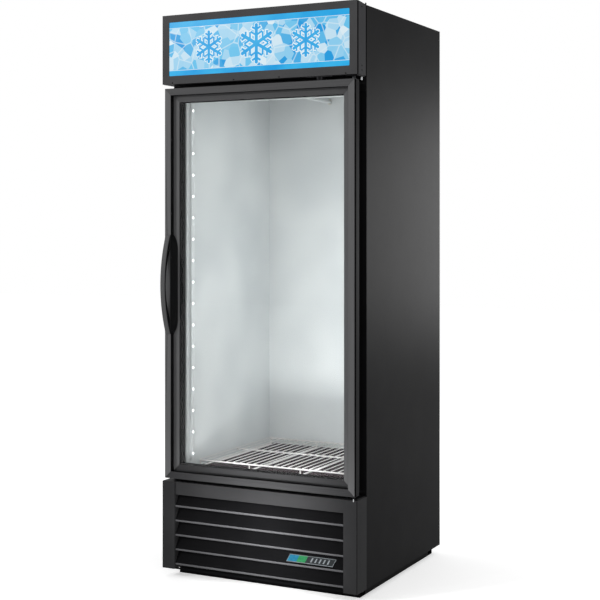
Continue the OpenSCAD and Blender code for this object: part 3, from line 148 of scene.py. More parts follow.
@dataclass
class Surface:
    """A material under construction: its nodes, its Principled shader and its coordinates in metres."""

    tree: Tree
    shader: Node
    coords: Socket

    def noise(self, size_mm: float, **inputs: float) -> Socket:
        """Adds a cloudy pattern.

        Args:
            size_mm: the size of its features.
            inputs: further inputs of the noise, by name.

        Returns:
            Its value from 0 to 1.
        """
        values = {"Vector": self.coords, "Scale": per_metre(size_mm), **inputs}
        return add(self.tree, "ShaderNodeTexNoise", values).outputs["Fac"]

    def cells(self, size_mm: float, **inputs: float) -> Socket:
        """Adds a pattern of cells, each with a value of its own.

        Args:
            size_mm: the size of the cells.
            inputs: further inputs of the Voronoi texture, by name.

        Returns:
            The cell's value from 0 to 1.
        """
        values = {"Vector": self.coords, "Scale": per_metre(size_mm), **inputs}
        cell = add(self.tree, "ShaderNodeTexVoronoi", values)
        return add(self.tree, "ShaderNodeRGBToBW", {"Color": cell.outputs["Color"]}).outputs["Val"]

    def ramp(self, pattern: Socket, stops: Stops) -> Socket:
        """Turns a pattern into a colour."""
        return add(self.tree, "ShaderNodeValToRGB", {"Fac": pattern}, stops=stops).outputs["Color"]

    def mix(self, factor: Socket, one: Any, two: Any) -> Socket:
        """Blends two colours by a factor."""
        blend = add(self.tree, "ShaderNodeMix", {"Factor": factor, "A": one, "B": two}, data_type="RGBA")
        return blend.outputs[MIX_COLOUR_OUTPUT]

    def tint(self, pattern: Socket, stops: Stops) -> None:
        """Colours the surface by a pattern."""
        self.tree.links.new(self.ramp(pattern, stops), self.shader.inputs["Base Color"])

    def gloss(self, pattern: Socket, low: float, high: float) -> None:
        """Varies the roughness between two values by a pattern."""
        spread = add(self.tree, "ShaderNodeMapRange", {"Value": pattern, "To Min": low, "To Max": high})
        self.tree.links.new(spread.outputs["Result"], self.shader.inputs["Roughness"])

    def relief(self, pattern: Socket, strength: float, depth_mm: float) -> None:
        """Raises the surface by a pattern, to this depth in mm."""
        bump = add(self.tree, "ShaderNodeBump", {
            "Height": pattern, "Strength": strength, "Distance": depth_mm * MM})
        self.tree.links.new(bump.outputs["Normal"], self.shader.inputs["Normal"])

    def glow(self, colour: Socket, unlit: str, strength: float) -> None:
        """Lights the surface from within.

        Args:
            colour: the colour of the light.
            unlit: the surface's own colour.
            strength: how bright it is.
        """
        self.tree.links.new(colour, self.shader.inputs["Emission Color"])
        self.shader.inputs["Base Color"].default_value = linear(unlit)
        self.shader.inputs["Emission Strength"].default_value = strength


@dataclass(frozen=True)
class Finish:
    """What a surface is made of. A subclass adds the marks of how it was made."""

    name: str
    colour: str
    roughness: float
    metallic: float = 0.0
    specular: float = 0.5
    light: str = WHITE

    def mark(self, surface: Surface) -> None:
        """Adds this finish's pattern.

        Args:
            surface: the material under construction.
        """

    def blend(self, low: float, high: float) -> Stops:
        """Colour stops from the finish's own colour to its lighter one.

        Args:
            low: the pattern's value up to which its own colour holds.
            high: the value from which the lighter one holds.

        Returns:
            The two stops.
        """
        return (low, self.colour), (high, self.light)

    def material(self) -> bpy.types.Material:
        """Makes the material, or returns the one already made.

        Returns:
            The material.
        """
        made = bpy.data.materials.get(self.name)
        if made:
            return made
        made = bpy.data.materials.new(self.name)
        made.use_nodes = True
        tree = made.node_tree
        tree.nodes.clear()
        coords = add(tree, "ShaderNodeTexCoord").outputs["Object"]
        shader = add(tree, "ShaderNodeBsdfPrincipled", {
            "Base Color": linear(self.colour), "Roughness": self.roughness, "Metallic": self.metallic,
            "Specular IOR Level": self.specular})
        self.mark(Surface(tree, shader, coords))
        add(tree, "ShaderNodeOutputMaterial", {"Surface": shader.outputs["BSDF"]})
        return made


@dataclass(frozen=True)
class PowderCoat(Finish):
    """Polyester powder baked on sheet steel: an orange-peel skin with faint cloudy thickness changes."""

    peel_mm: float = 7.0
    peel_depth_mm: float = 0.05
    cloud_mm: float = 160.0

    def mark(self, surface: Surface) -> None:
        """Peel as bump, drawn coarser than the real 1.5 mm so that it shows, and clouds as tint.

        Args:
            surface: the material under construction.
        """
        peel = surface.noise(self.peel_mm, Detail=3.0, Roughness=0.6)
        surface.tint(surface.noise(self.cloud_mm, Detail=4.0), self.blend(0.35, 0.70))
        surface.gloss(peel, self.roughness - 0.04, self.roughness + 0.05)
        surface.relief(peel, 0.5, self.peel_depth_mm)


@dataclass(frozen=True)
class DrawnMetal(Finish):
    """Extruded or brushed metal: fine streaks along one axis, which spread the reflections across them."""

    along: Axis = Axis.Z
    streak_mm: float = 1.6
    streak_len_mm: float = 220.0
    streak_depth_mm: float = 0.004

    def mark(self, surface: Surface) -> None:
        """Streaks as stretched noise in tint, gloss and bump.

        Args:
            surface: the material under construction.
        """
        scale = [per_metre(self.streak_mm)] * 3
        scale[self.along.value] = per_metre(self.streak_len_mm)
        stretched = add(surface.tree, "ShaderNodeVectorMath", {0: surface.coords, 1: scale},
                        operation="MULTIPLY")
        streak = add(surface.tree, "ShaderNodeTexNoise", {
            "Vector": stretched.outputs["Vector"], "Scale": 1.0, "Detail": 2.0}).outputs["Fac"]
        surface.tint(streak, self.blend(0.30, 0.75))
        surface.gloss(streak, self.roughness - 0.05, self.roughness + 0.06)
        surface.relief(streak, 0.4, self.streak_depth_mm)


@dataclass(frozen=True)
class Galvanised(Finish):
    """Hot-dip zinc on sheet steel: frost-like spangles that differ in brightness and gloss."""

    spangle_mm: float = 14.0

    def mark(self, surface: Surface) -> None:
        """Spangles as Voronoi cells.

        Args:
            surface: the material under construction.
        """
        spangle = surface.cells(self.spangle_mm)
        surface.tint(spangle, self.blend(0.15, 0.85))
        surface.gloss(spangle, self.roughness - 0.08, self.roughness + 0.1)


@dataclass(frozen=True)
class Moulded(Finish):
    """Moulded plastic, rubber or foam: a fine grain that breaks up the gloss."""

    grain_mm: float = 2.5
    grain_depth_mm: float = 0.04

    def mark(self, surface: Surface) -> None:
        """Grain as bump, drawn coarser than the real 0.3 mm, with a slight tint.

        Args:
            surface: the material under construction.
        """
        grain = surface.noise(self.grain_mm, Detail=4.0, Roughness=0.7)
        surface.tint(grain, self.blend(0.30, 0.80))
        surface.relief(grain, 0.5, self.grain_depth_mm)


@dataclass(frozen=True)
class CoatedLiner(Finish):
    """Pre-painted white sheet: smooth, with the slow waves of thin sheet over foam."""

    wave_mm: float = 240.0
    wave_depth_mm: float = 0.15

    def mark(self, surface: Surface) -> None:
        """Waves as a shallow bump and a trace of tint.

        Args:
            surface: the material under construction.
        """
        wave = surface.noise(self.wave_mm, Detail=1.0)
        surface.tint(wave, self.blend(0.30, 0.70))
        surface.relief(wave, 0.5, self.wave_depth_mm)


@dataclass(frozen=True)
class FinStack(Finish):
    """Aluminium fins pressed on tubes: bright fin edges with dark slots between."""

    pitch_mm: float = 4.0
    fin_depth_mm: float = 1.5

    def mark(self, surface: Surface) -> None:
        """Bands across X, drawn at twice the real 2 mm pitch. A wave's period is 2 pi / 20 of its scale.

        Args:
            surface: the material under construction.
        """
        wave = add(surface.tree, "ShaderNodeTexWave", {
            "Vector": surface.coords, "Scale": per_metre(self.pitch_mm) * math.pi / 10},
            bands_direction="X").outputs["Fac"]
        surface.tint(wave, self.blend(0.25, 0.70))
        surface.relief(wave, 0.8, self.fin_depth_mm)


@dataclass(frozen=True)
class ClearGlass(Finish):
    """Float glass with a coat against glare, which lowers its apparent IOR: clear, with a faint haze."""

    ior: float = 1.2
    haze_mm: float = 90.0

    def mark(self, surface: Surface) -> None:
        """Full transmission, and a haze that lifts the roughness a little in patches.

        Args:
            surface: the material under construction.
        """
        surface.shader.inputs["Transmission Weight"].default_value = 1.0
        surface.shader.inputs["IOR"].default_value = self.ior
        surface.gloss(surface.noise(self.haze_mm), 0.0, 2 * self.roughness)


@dataclass(frozen=True)
class LitPlastic(Finish):
    """Opal polycarbonate with lamps behind it: glows evenly, with slow changes between the lamps."""

    strength: float = 1.0
    patch_mm: float = 60.0

    def mark(self, surface: Surface) -> None:
        """Emission in a slowly changing colour."""
        patch = surface.noise(self.patch_mm)
        surface.glow(surface.ramp(patch, self.blend(0.35, 0.65)), "#202428", self.strength)


@dataclass(frozen=True)
class IcySign(Finish):
    """A back-lit translucent sheet printed with a frosty pattern: a pale band of facets on sky blue."""

    deep: str = "#0f9fe6"
    hazy: str = "#4fbff2"
    shaded: str = "#1c9fe4"
    pale: str = "#6cc8f2"
    bright: str = "#e2f3fb"
    strength: float = 0.90
    drift_mm: float = 110.0
    facet_mm: float = 34.0
    crack_mm: float = 62.0
    crack_reach: float = 0.045
    crack_share: float = 0.75
    band_low: float = 1.80
    band_high: float = 1.95
    band_blur: float = 2 * MM

    def mark(self, surface: Surface) -> None:
        """Facets from Voronoi cells, cracks from the borders of larger cells, and the band by height.

        Args:
            surface: the material under construction.
        """
        tree = surface.tree
        ground = surface.ramp(surface.noise(self.drift_mm, Detail=3.0),
                              ((0.30, self.deep), (0.56, self.colour), (0.85, self.hazy)))
        ice = surface.ramp(surface.cells(self.facet_mm, Randomness=0.9),
                           ((0.12, self.shaded), (0.45, self.pale), (0.88, self.bright)))
        border = add(tree, "ShaderNodeTexVoronoi", {
            "Vector": surface.coords, "Scale": per_metre(self.crack_mm)}, feature="DISTANCE_TO_EDGE")
        crack = add(tree, "ShaderNodeMapRange", {
            "Value": border.outputs["Distance"], "From Min": 0.0, "From Max": self.crack_reach,
            "To Min": self.crack_share, "To Max": 0.0})
        cracked = surface.mix(crack.outputs["Result"], ice, linear(self.bright))
        middle = (self.band_low + self.band_high) / 2
        half = (self.band_high - self.band_low) / 2
        axes = add(tree, "ShaderNodeSeparateXYZ", {"Vector": surface.coords})
        offset = add(tree, "ShaderNodeMath", {0: axes.outputs["Z"], 1: middle}, operation="SUBTRACT")
        far = add(tree, "ShaderNodeMath", {0: offset.outputs["Value"]}, operation="ABSOLUTE")
        band = add(tree, "ShaderNodeMapRange", {
            "Value": far.outputs["Value"], "From Min": half - self.band_blur, "From Max": half,
            "To Min": 1.0, "To Max": 0.0})
        surface.glow(surface.mix(band.outputs["Result"], ground, cracked), "#101820", self.strength)


# One black powder coat in copies of different lightness, set by how light falls on each: the side and top
# panels are darker as painted shade, and the sign, posts and grille band are lighter as painted light.
SHADED_SIDE_COAT = PowderCoat("black_powder_coat_shaded_sides", "#121213", 0.42, specular=0.012, light="#171718")
LIT_SIGN_COAT = PowderCoat("black_powder_coat_lit_sign_front", "#414142", 0.45, specular=0.012, light="#484849")
LIT_SIGN_SIDE_COAT = PowderCoat(
    "black_powder_coat_lit_sign_sides", "#38383a", 0.45, specular=0.012, light="#3e3e40")
LIT_POST_COAT = PowderCoat("black_powder_coat_lit_posts", "#2c2c2d", 0.40, specular=0.012, light="#323233")
LIT_BAND_COAT = PowderCoat("black_powder_coat_lit_band", "#2a2a2b", 0.36, specular=0.08, light="#303031")
# The grille's slat faces take a near-black copy of the coat as painted shade in the recesses, and the rolled
# lips take a light grey copy as painted highlight.
SHADED_SLAT_COAT = PowderCoat("black_powder_coat_shaded_slat_faces", "#0d0d0e", 0.45, specular=0.004, light="#111112")
LIT_LIP_COAT = PowderCoat("black_powder_coat_lit_rolled_edge", "#4b4b4d", 0.34, specular=0.10, light="#525254")
FRAME_COAT = PowderCoat("dark_painted_chassis_steel", "#0c0c0d", 0.6, specular=0.02, light="#101011")
CABIN_FLOOR = PowderCoat(
    "dark_glossy_enamelled_floor", "#32292c", 0.40, specular=0.0, light="#3a3033", peel_mm=9.0)
SHELL_ENAMEL = PowderCoat("black_enamelled_compressor_shell", "#0c0c0d", 0.30, light="#111112", peel_mm=5.0)
MOTOR_PAINT = PowderCoat("dark_painted_motor_can", "#1b1b1c", 0.45, light="#222223", peel_mm=4.0)
# Copies of the door's black aluminium in different lightness, set by how light falls: the stiles lightest and
# the head rail lighter as painted light, and the foot rail darker as painted shade.
LIT_UPRIGHT_ALUMINIUM = DrawnMetal(
    "anodised_aluminium_lit_upright", "#5b5b5c", 0.42, specular=0.02, light="#636364")
LIT_HEAD_ALUMINIUM = DrawnMetal(
    "anodised_aluminium_lit_head", "#4a4a4b", 0.42, specular=0.02, light="#525253", along=Axis.X)
SHADED_FOOT_ALUMINIUM = DrawnMetal(
    "anodised_aluminium_shaded_foot", "#343435", 0.42, specular=0.02, light="#3a3a3b", along=Axis.X)
BADGE_RIM = DrawnMetal(
    "satin_aluminium_badge_rim", "#5f6366", 0.45, metallic=1.0, light="#6d7174", along=Axis.X)
BLACK_ZINC = DrawnMetal(
    "black_zinc_plated_steel", "#101011", 0.45, specular=0.03, light="#161617", streak_len_mm=20.0)
BLACK_OXIDE = DrawnMetal(
    "black_oxide_steel_screw", "#050505", 0.5, specular=0.01, light="#090909", streak_len_mm=20.0)
DARK_ZINC = DrawnMetal(
    "passivated_zinc_collar", "#37383a", 0.5, metallic=1.0, light="#434446", streak_len_mm=20.0)
ZINC = DrawnMetal(
    "bright_zinc_plated_steel", "#b9bbbd", 0.26, metallic=1.0, light="#cdcfd1", streak_len_mm=20.0)
ZINC_WIRE = DrawnMetal("zinc_plated_wire", "#aeb0b2", 0.30, metallic=1.0, light="#c4c6c8")
ALUMINIUM = DrawnMetal("rolled_aluminium_blade", "#a9abad", 0.32, metallic=1.0, light="#bfc1c3", along=Axis.X)
COPPER = DrawnMetal("drawn_copper_tube", "#a9663f", 0.28, metallic=1.0, light="#c47d52", streak_mm=6.0)
GALVANISED = Galvanised("galvanised_sheet_steel", "#8e9193", 0.42, metallic=0.9, light="#b4b7b9")
WHITE_LINER = CoatedLiner("white_painted_aluminium_liner", "#d5d9da", 0.42, specular=0.3, light="#e6e9e9")
WHITE_COAT = CoatedLiner(
    "white_enamelled_steel", "#dfe2e2", 0.34, light="#e6e9e9", wave_mm=120.0, wave_depth_mm=0.4)
FINS = FinStack("aluminium_fin_stack", "#4d4f51", 0.35, metallic=0.8, light="#c3c6c8")
PALE_PLASTIC = Moulded("pale_extruded_pvc", "#c9cccc", 0.45, light="#d3d6d6")
BLACK_ABS = Moulded("black_moulded_abs", "#28282a", 0.45, specular=0.02, light="#303031")
HANDLE_ABS = Moulded("charcoal_moulded_handle_nylon", "#4d4d4e", 0.42, specular=0.05, light="#545455")
HANDLE_PLATE = Moulded("charcoal_moulded_handle_plate", "#505051", 0.42, specular=0.02, light="#565657")
FRAME_PVC = Moulded("black_extruded_frame_pvc", "#1a1a1b", 0.5, specular=0.0, light="#202021")
SHADE_EDGE_SKIN = Moulded("charcoal_edge_side_shade", "#2a2a2b", 0.5, specular=0.012, light="#303031")
# Near-black foam that stands only for shade: in the sign box's seams, on the right post's edge and at the
# door's hinge edge.
SHADE_BLACK_FOAM = Moulded("black_foam_painted_shade", "#030303", 0.9, specular=0.0, light="#060606", grain_mm=4.0)
GLAZING_SEAL_AND_SHADE = Moulded(
    "black_glazing_seal_and_painted_shade", "#242425", 0.6, specular=0.0, light="#2a2a2b", grain_mm=8.0)
# Black vinyl for the real door gasket, also used as painted shade on the door's step walls and on the handle
# bow's sides and wing.
VINYL_AND_SHADE = Moulded("black_pvc_gasket_and_painted_shade", "#0b0b0c", 0.6, specular=0.06, light="#111112", grain_mm=4.0)
RUBBER = Moulded("black_moulded_rubber", "#0b0b0b", 0.75, specular=0.2, light="#121212")
FOAM = Moulded("foamed_polyurethane", "#e9dcb4", 0.85, light="#f2e8c8", grain_mm=3.0, grain_depth_mm=0.3)
WHITE_WIRE = Moulded("white_epoxy_coated_wire", "#eae6e4", 0.30, light="#f4f1ef", grain_mm=8.0)
CHARCOAL_ENAMEL = Moulded("charcoal_enamel", "#1c1f21", 0.4, specular=0.05, light="#232628", grain_mm=6.0)
BLUE_ENAMEL = Moulded("blue_enamel", "#12485f", 0.4, specular=0.05, light="#1a6078", grain_mm=10.0)
GREEN_ENAMEL = Moulded("green_enamel", "#1a5834", 0.4, specular=0.05, light="#276a42", grain_mm=10.0)
GLASS = ClearGlass("clear_float_glass", "#fdfefe", 0.004)
SIGN_FACE = IcySign("printed_backlit_acrylic", "#2fb6f0", 0.25, specular=0.05)
PALE_INK = LitPlastic(
    "pale_ink_on_backlit_acrylic", "#d8f0fb", 0.3, specular=0.05, light="#eef9fe", strength=0.92)
BLUE_INK = LitPlastic(
    "blue_ink_on_backlit_acrylic", "#1aa2e6", 0.3, specular=0.05, light="#34b0ea", strength=0.92)
LAMP_LENS = LitPlastic("frosted_polycarbonate_lamp_lens", "#f3f8ff", 0.3, strength=1.6)
LED_CHIP = LitPlastic("lit_led_chip", WHITE, 0.3, strength=6.0)

NODES_BY_FINISH: tuple[tuple[Finish, str], ...] = (
    (FRAME_COAT, "base_frame"),
    (SHADED_SIDE_COAT, "side_panel_left side_panel_right top_panel"),
    (LIT_SIGN_SIDE_COAT, "header_box"),
    (LIT_SIGN_COAT, "sign_bezel"),
    (LIT_POST_COAT, "cross_panels front_posts"),
    (LIT_BAND_COAT, "louvre_grille"),
    (GALVANISED, "back_panel rear_service_cover unit_tray condenser_shroud control_box"),
    (FOAM, "foam_insulation"),
    (WHITE_LINER, "cabin_liner"),
    (CABIN_FLOOR, "cabin_floor"),
    (WHITE_COAT, "evap_housing evap_drain_pan"),
    (PALE_PLASTIC, "breaker_strips thermostat_knob"),
    (SIGN_FACE, "sign_panel"),
    (LAMP_LENS, "led_bars"),
    (BLACK_OXIDE, "cover_screws"),
    (BLACK_ZINC, "hinge_bracket_top hinge_bracket_bottom door_lock_cam"),
    (BLACK_ABS, "door_lock_housing condensate_pan power_inlet_gland light_switch glass_spacer"),
    (ALUMINIUM, "badge_plate evap_fan_left evap_fan_right condenser_fan"),
    (FINS, "evap_coil condenser_coil"),
    (MOTOR_PAINT, "evap_fan_motors condenser_fan_motor"),
    (ZINC_WIRE, "evap_fan_guards"),
    (SHELL_ENAMEL, "compressor"),
    (RUBBER, "compressor_grommets"),
    (COPPER, "refrigerant_lines"),
    (ZINC, "leveller_front_left leveller_front_right leveller_rear_left leveller_rear_right"),
    (ZINC, "handle_screws closer_rod"),
    (WHITE_WIRE, "floor_rack"),
    (LIT_UPRIGHT_ALUMINIUM, "door_stile_left door_stile_right"),
    (LIT_HEAD_ALUMINIUM, "door_rail_top"),
    (SHADED_FOOT_ALUMINIUM, "door_rail_bottom"),
    (FRAME_PVC, "door_inner_frame"),
    (GLASS, "door_glass"),
    (VINYL_AND_SHADE, "door_gasket"),
    (HANDLE_ABS, "handle"),
    (DARK_ZINC, "hinge_bushings"),
)
SOFTENED_MM: dict[str, float] = {
    "door_stile_left": 0.9, "door_stile_right": 0.9, "door_rail_top": 0.9, "door_rail_bottom": 0.9,
    "front_posts": 0.45, "sign_bezel": 0.4, "badge_plate": 0.4,
}


# ---------- mesh building ----------


class Sculpt:
    """A mesh under construction, from blocks, lofts, turned profiles and flat outlines."""

    def __init__(self) -> None:
        """Starts with an empty mesh."""
        self.mesh = bmesh.new()

    def block(self, one: Sequence[float], two: Sequence[float], radius: float = 0.0) -> "Sculpt":
        """Adds a box with rounded edges.

        Args:
            one: a corner.
            two: the corner opposite to it.
            radius: how far its edges are rounded, in metres.

        Returns:
            This mesh, for chaining.
        """
        low = Vector([min(pair) for pair in zip(one, two)])
        high = Vector([max(pair) for pair in zip(one, two)])
        size = high - low
        place = Matrix.Translation((low + high) / 2) @ Matrix.Diagonal((*size, 1.0))
        made = bmesh.ops.create_cube(self.mesh, size=1.0, matrix=place)["verts"]
        if radius:
            edges = list({edge for vert in made for edge in vert.link_edges})
            bmesh.ops.bevel(self.mesh, geom=edges, offset=radius, segments=3, profile=0.5, affect="EDGES")
        return self

    def loft(self, rings: Sequence[Sequence[Vector]]) -> "Sculpt":
        """Joins rings of equal length into a skin that is closed at both ends.

        Args:
            rings: the cross-sections in order, each a closed loop of points.

        Returns:
            This mesh, for chaining.
        """
        loops = [[self.mesh.verts.new(point) for point in ring] for ring in rings]
        for one, two in zip(loops, loops[1:]):
            for i in range(len(one)):
                j = (i + 1) % len(one)
                self.mesh.faces.new((one[i], one[j], two[j], two[i]))
        self.mesh.faces.new(loops[0])
        self.mesh.faces.new(loops[-1])
        return self

    def turned(self, centre: Sequence[float], axis: Axis, profile: Points, steps: int) -> "Sculpt":
        """Turns a profile round an axis.

        Args:
            centre: a point on the axis, from which the profile is measured.
            axis: the direction of the axis.
            profile: (distance along the axis, radius) pairs from end to end.
            steps: points round each ring.

        Returns:
            This mesh, for chaining.
        """
        first, second = [a.value for a in Axis if a is not axis]
        rings = []
        for along, radius in profile:
            ring = []
            for k in range(steps):
                point = Vector(centre)
                angle = 2 * math.pi * k / steps
                point[axis.value] += along
                point[first] += radius * math.cos(angle)
                point[second] += radius * math.sin(angle)
                ring.append(point)
            rings.append(ring)
        return self.loft(rings)

    def prism(self, outline: Points, front: float, back: float) -> "Sculpt":
        """Adds a flat outline in X and Z, thickened along Y.

        Args:
            outline: the (x, z) corners in order.
            front: the Y of its front face.
            back: the Y of its back face.

        Returns:
            This mesh, for chaining.
        """
        return self.loft([[Vector((x, y, z)) for x, z in outline] for y in (front, back)])

    def piece(self, name: str, finish: Finish, body: str, slot: str) -> bpy.types.Object:
        """Turns the mesh into a finished object that moves with a body.

        Args:
            name: the object's name.
            finish: its finish.
            body: the body it rides on.
            slot: the record's material slot; not used.

        Returns:
            The new object.
        """
        bmesh.ops.recalc_face_normals(self.mesh, faces=self.mesh.faces)
        data = bpy.data.meshes.new(name)
        self.mesh.to_mesh(data)
        self.mesh.free()
        data.materials.append(finish.material())
        data.shade_smooth()
        data.set_sharp_from_angle(angle=math.radians(SHARP_DEG))
        made = placed(name, data)
        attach(made, body)
        LOG.info("built %s: %d faces on %s", name, len(data.polygons), body)
        return made


def dress_nodes() -> None:
    """Gives every construction node its finish, and rounds the edges of those that show up close."""
    finishes = {name: finish for finish, names in NODES_BY_FINISH for name in names.split()}
    for name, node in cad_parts.items():
        for material_slot in node.material_slots:
            material_slot.material = finishes[name].material()
        width = SOFTENED_MM.get(name)
        if width:
            weld = node.modifiers.new("weld", "WELD")
            weld.merge_threshold = WELD
            bevel = node.modifiers.new("rounded_edges", "BEVEL")
            bevel.width = width * MM
            bevel.segments = 2
            bevel.limit_method = "ANGLE"
            bevel.angle_limit = math.radians(ROUNDED_DEG)
            bevel.use_clamp_overlap = True
            node.modifiers.new("even_normals", "WEIGHTED_NORMAL")
        LOG.info("dressed %s in %s", name, finishes[name].name)


# ---------- sub-assemblies ----------


@dataclass
class Grille:
    """The louvred grille: a flat band over slats, each folded from sheet with a rolled lip."""

    band: float = 45.0 * MM
    first_lip: float = 40.5 * MM
    pitch: float = 51.125 * MM
    slats: int = 5
    rise: float = 43.125 * MM
    depth: float = 30.0 * MM
    sheet: float = 1.5 * MM
    lip: float = 5.0 * MM
    lip_reach: float = 1.02
    roll_deg: float = 330.0
    end_depth: float = 36.0 * MM
    top_fold: float = 20.0 * MM
    top_sunk: float = 0.3 * MM
    low_fold: float = 12.0 * MM
    low_sunk: float = 0.8 * MM
    set_back: float = 1.0 * MM
    sill: float = 6.0 * MM
    edge: float = 0.4 * MM
    band_edge: float = 0.5 * MM

    def __post_init__(self) -> None:
        """Takes the grille's place from its construction node."""
        self.low, self.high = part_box("louvre_grille")
        self.slope = math.atan2(self.depth - self.lip, self.rise)
        self.band_z = self.high.z - self.band

    def lip_centres(self) -> list[Vector]:
        """The (y, z) of every rolled lip's centre line, from the top down."""
        return [Vector((self.low.y + self.lip, self.band_z - self.first_lip - i * self.pitch))
                for i in range(self.slats)]

    def slat_ring(self, centre: Vector) -> list[tuple[float, float]]:
        """Profile of a slat: the sloping sheet and the lip that rolls under.

        Args:
            centre: (y, z) of the lip's centre.

        Returns:
            (y, z) in order round the profile.
        """
        up = Vector((math.sin(self.slope), math.cos(self.slope)))
        out = Vector((-math.cos(self.slope), math.sin(self.slope)))
        start = math.degrees(math.atan2(out.y, out.x))
        length = self.rise / math.cos(self.slope)
        inner = self.lip - self.sheet

        def flat(radius: float, shares: Sequence[float]) -> list[tuple[float, float]]:
            """Points up one side of the sheet, at shares of its length."""
            return [tuple(centre + out * radius + up * length * share) for share in shares]

        def roll(radius: float, one: float, two: float, steps: int) -> list[tuple[float, float]]:
            """Points round one side of the lip, from one angle to another in degrees."""
            angles = [math.radians(one + (two - one) * k / steps) for k in range(steps + 1)]
            return [(centre.x + radius * math.cos(a), centre.y + radius * math.sin(a)) for a in angles]

        return (flat(self.lip, (1.0, 0.75, 0.5, 0.25, 0.08)) + roll(self.lip, start, self.roll_deg, 12)
                + roll(inner, self.roll_deg, start, 8) + flat(inner, (0.08, 0.5, 1.0)))

    def build(self) -> None:
        """Builds the frame and the slats, which stand for the construction node."""
        surround = Sculpt()
        x, y, top, band_z = self.high.x, self.low.y, self.high.z, self.band_z
        surround.block((-x, y, band_z), (x, y + self.sheet, top), self.band_edge)
        surround.block((-x, y + self.top_sunk, top - self.sheet), (x, y + self.top_fold, top), self.edge)
        surround.block((-x, y + self.low_sunk, band_z),
                       (x, y + self.low_fold, band_z + self.sheet), self.edge)
        for side in SIDES:
            surround.block((side * x, y + self.set_back, self.low.z),
                           (side * (x - self.sheet), y + self.end_depth, top), self.edge)
        made = surround.piece("grille_frame", LIT_BAND_COAT, "cabinet", "grille_black")
        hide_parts("louvre_grille")
        slats = Sculpt()
        reach = x - self.sheet
        for centre in self.lip_centres():
            ring = self.slat_ring(centre)
            slats.loft([[Vector((end, y, z)) for y, z in ring] for end in (-reach, reach)])
        front, low = self.low.y + self.set_back, self.low.z
        slats.block((-reach, front, low), (reach, front + self.sheet, low + self.sill), self.edge)
        # The rolled lips get the light grey copy of the coat as painted highlight; the slat faces keep the
        # near-black copy as painted shade.
        blades = slats.piece("grille_slats", SHADED_SLAT_COAT, "cabinet", "grille_black")
        blades.data.materials.append(LIT_LIP_COAT.material())
        for face in blades.data.polygons:
            if abs(face.normal.x) < 0.5 and self.on_lip(face.center):
                face.material_index = 1

    def on_lip(self, point: Vector) -> bool:
        """Tells whether a point lies on a rolled lip.

        Args:
            point: the point.

        Returns:
            True within the lip's radius of a lip's centre line.
        """
        flat = Vector((point.y, point.z))
        return any((flat - centre).length < self.lip * self.lip_reach for centre in self.lip_centres())


@dataclass
class StepShade:
    """Thin black strips along the walls of the door's step, round the glass, as painted shade in the step."""

    face_width: float = 24.0 * MM
    front: float = 1.0 * MM
    step: float = 20.0 * MM
    thick: float = 0.5 * MM
    edge: float = 0.15 * MM

    def build(self) -> None:
        """Builds the four strips."""
        low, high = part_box("door_stile_left")
        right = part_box("door_stile_right")[1].x
        seal = Sculpt()
        x0, x1 = low.x + self.face_width, right - self.face_width
        z0, z1 = low.z + self.face_width, high.z - self.face_width
        y0, y1 = low.y + self.front, low.y + self.step
        for side, x in ((1, x0), (-1, x1)):
            seal.block((x, y0, z0), (x + side * self.thick, y1, z1), self.edge)
        for side, z in ((1, z0), (-1, z1)):
            seal.block((x0, y0, z), (x1, y1, z + side * self.thick), self.edge)
        seal.piece("door_step_shade", VINYL_AND_SHADE, "door", "gasket_vinyl")


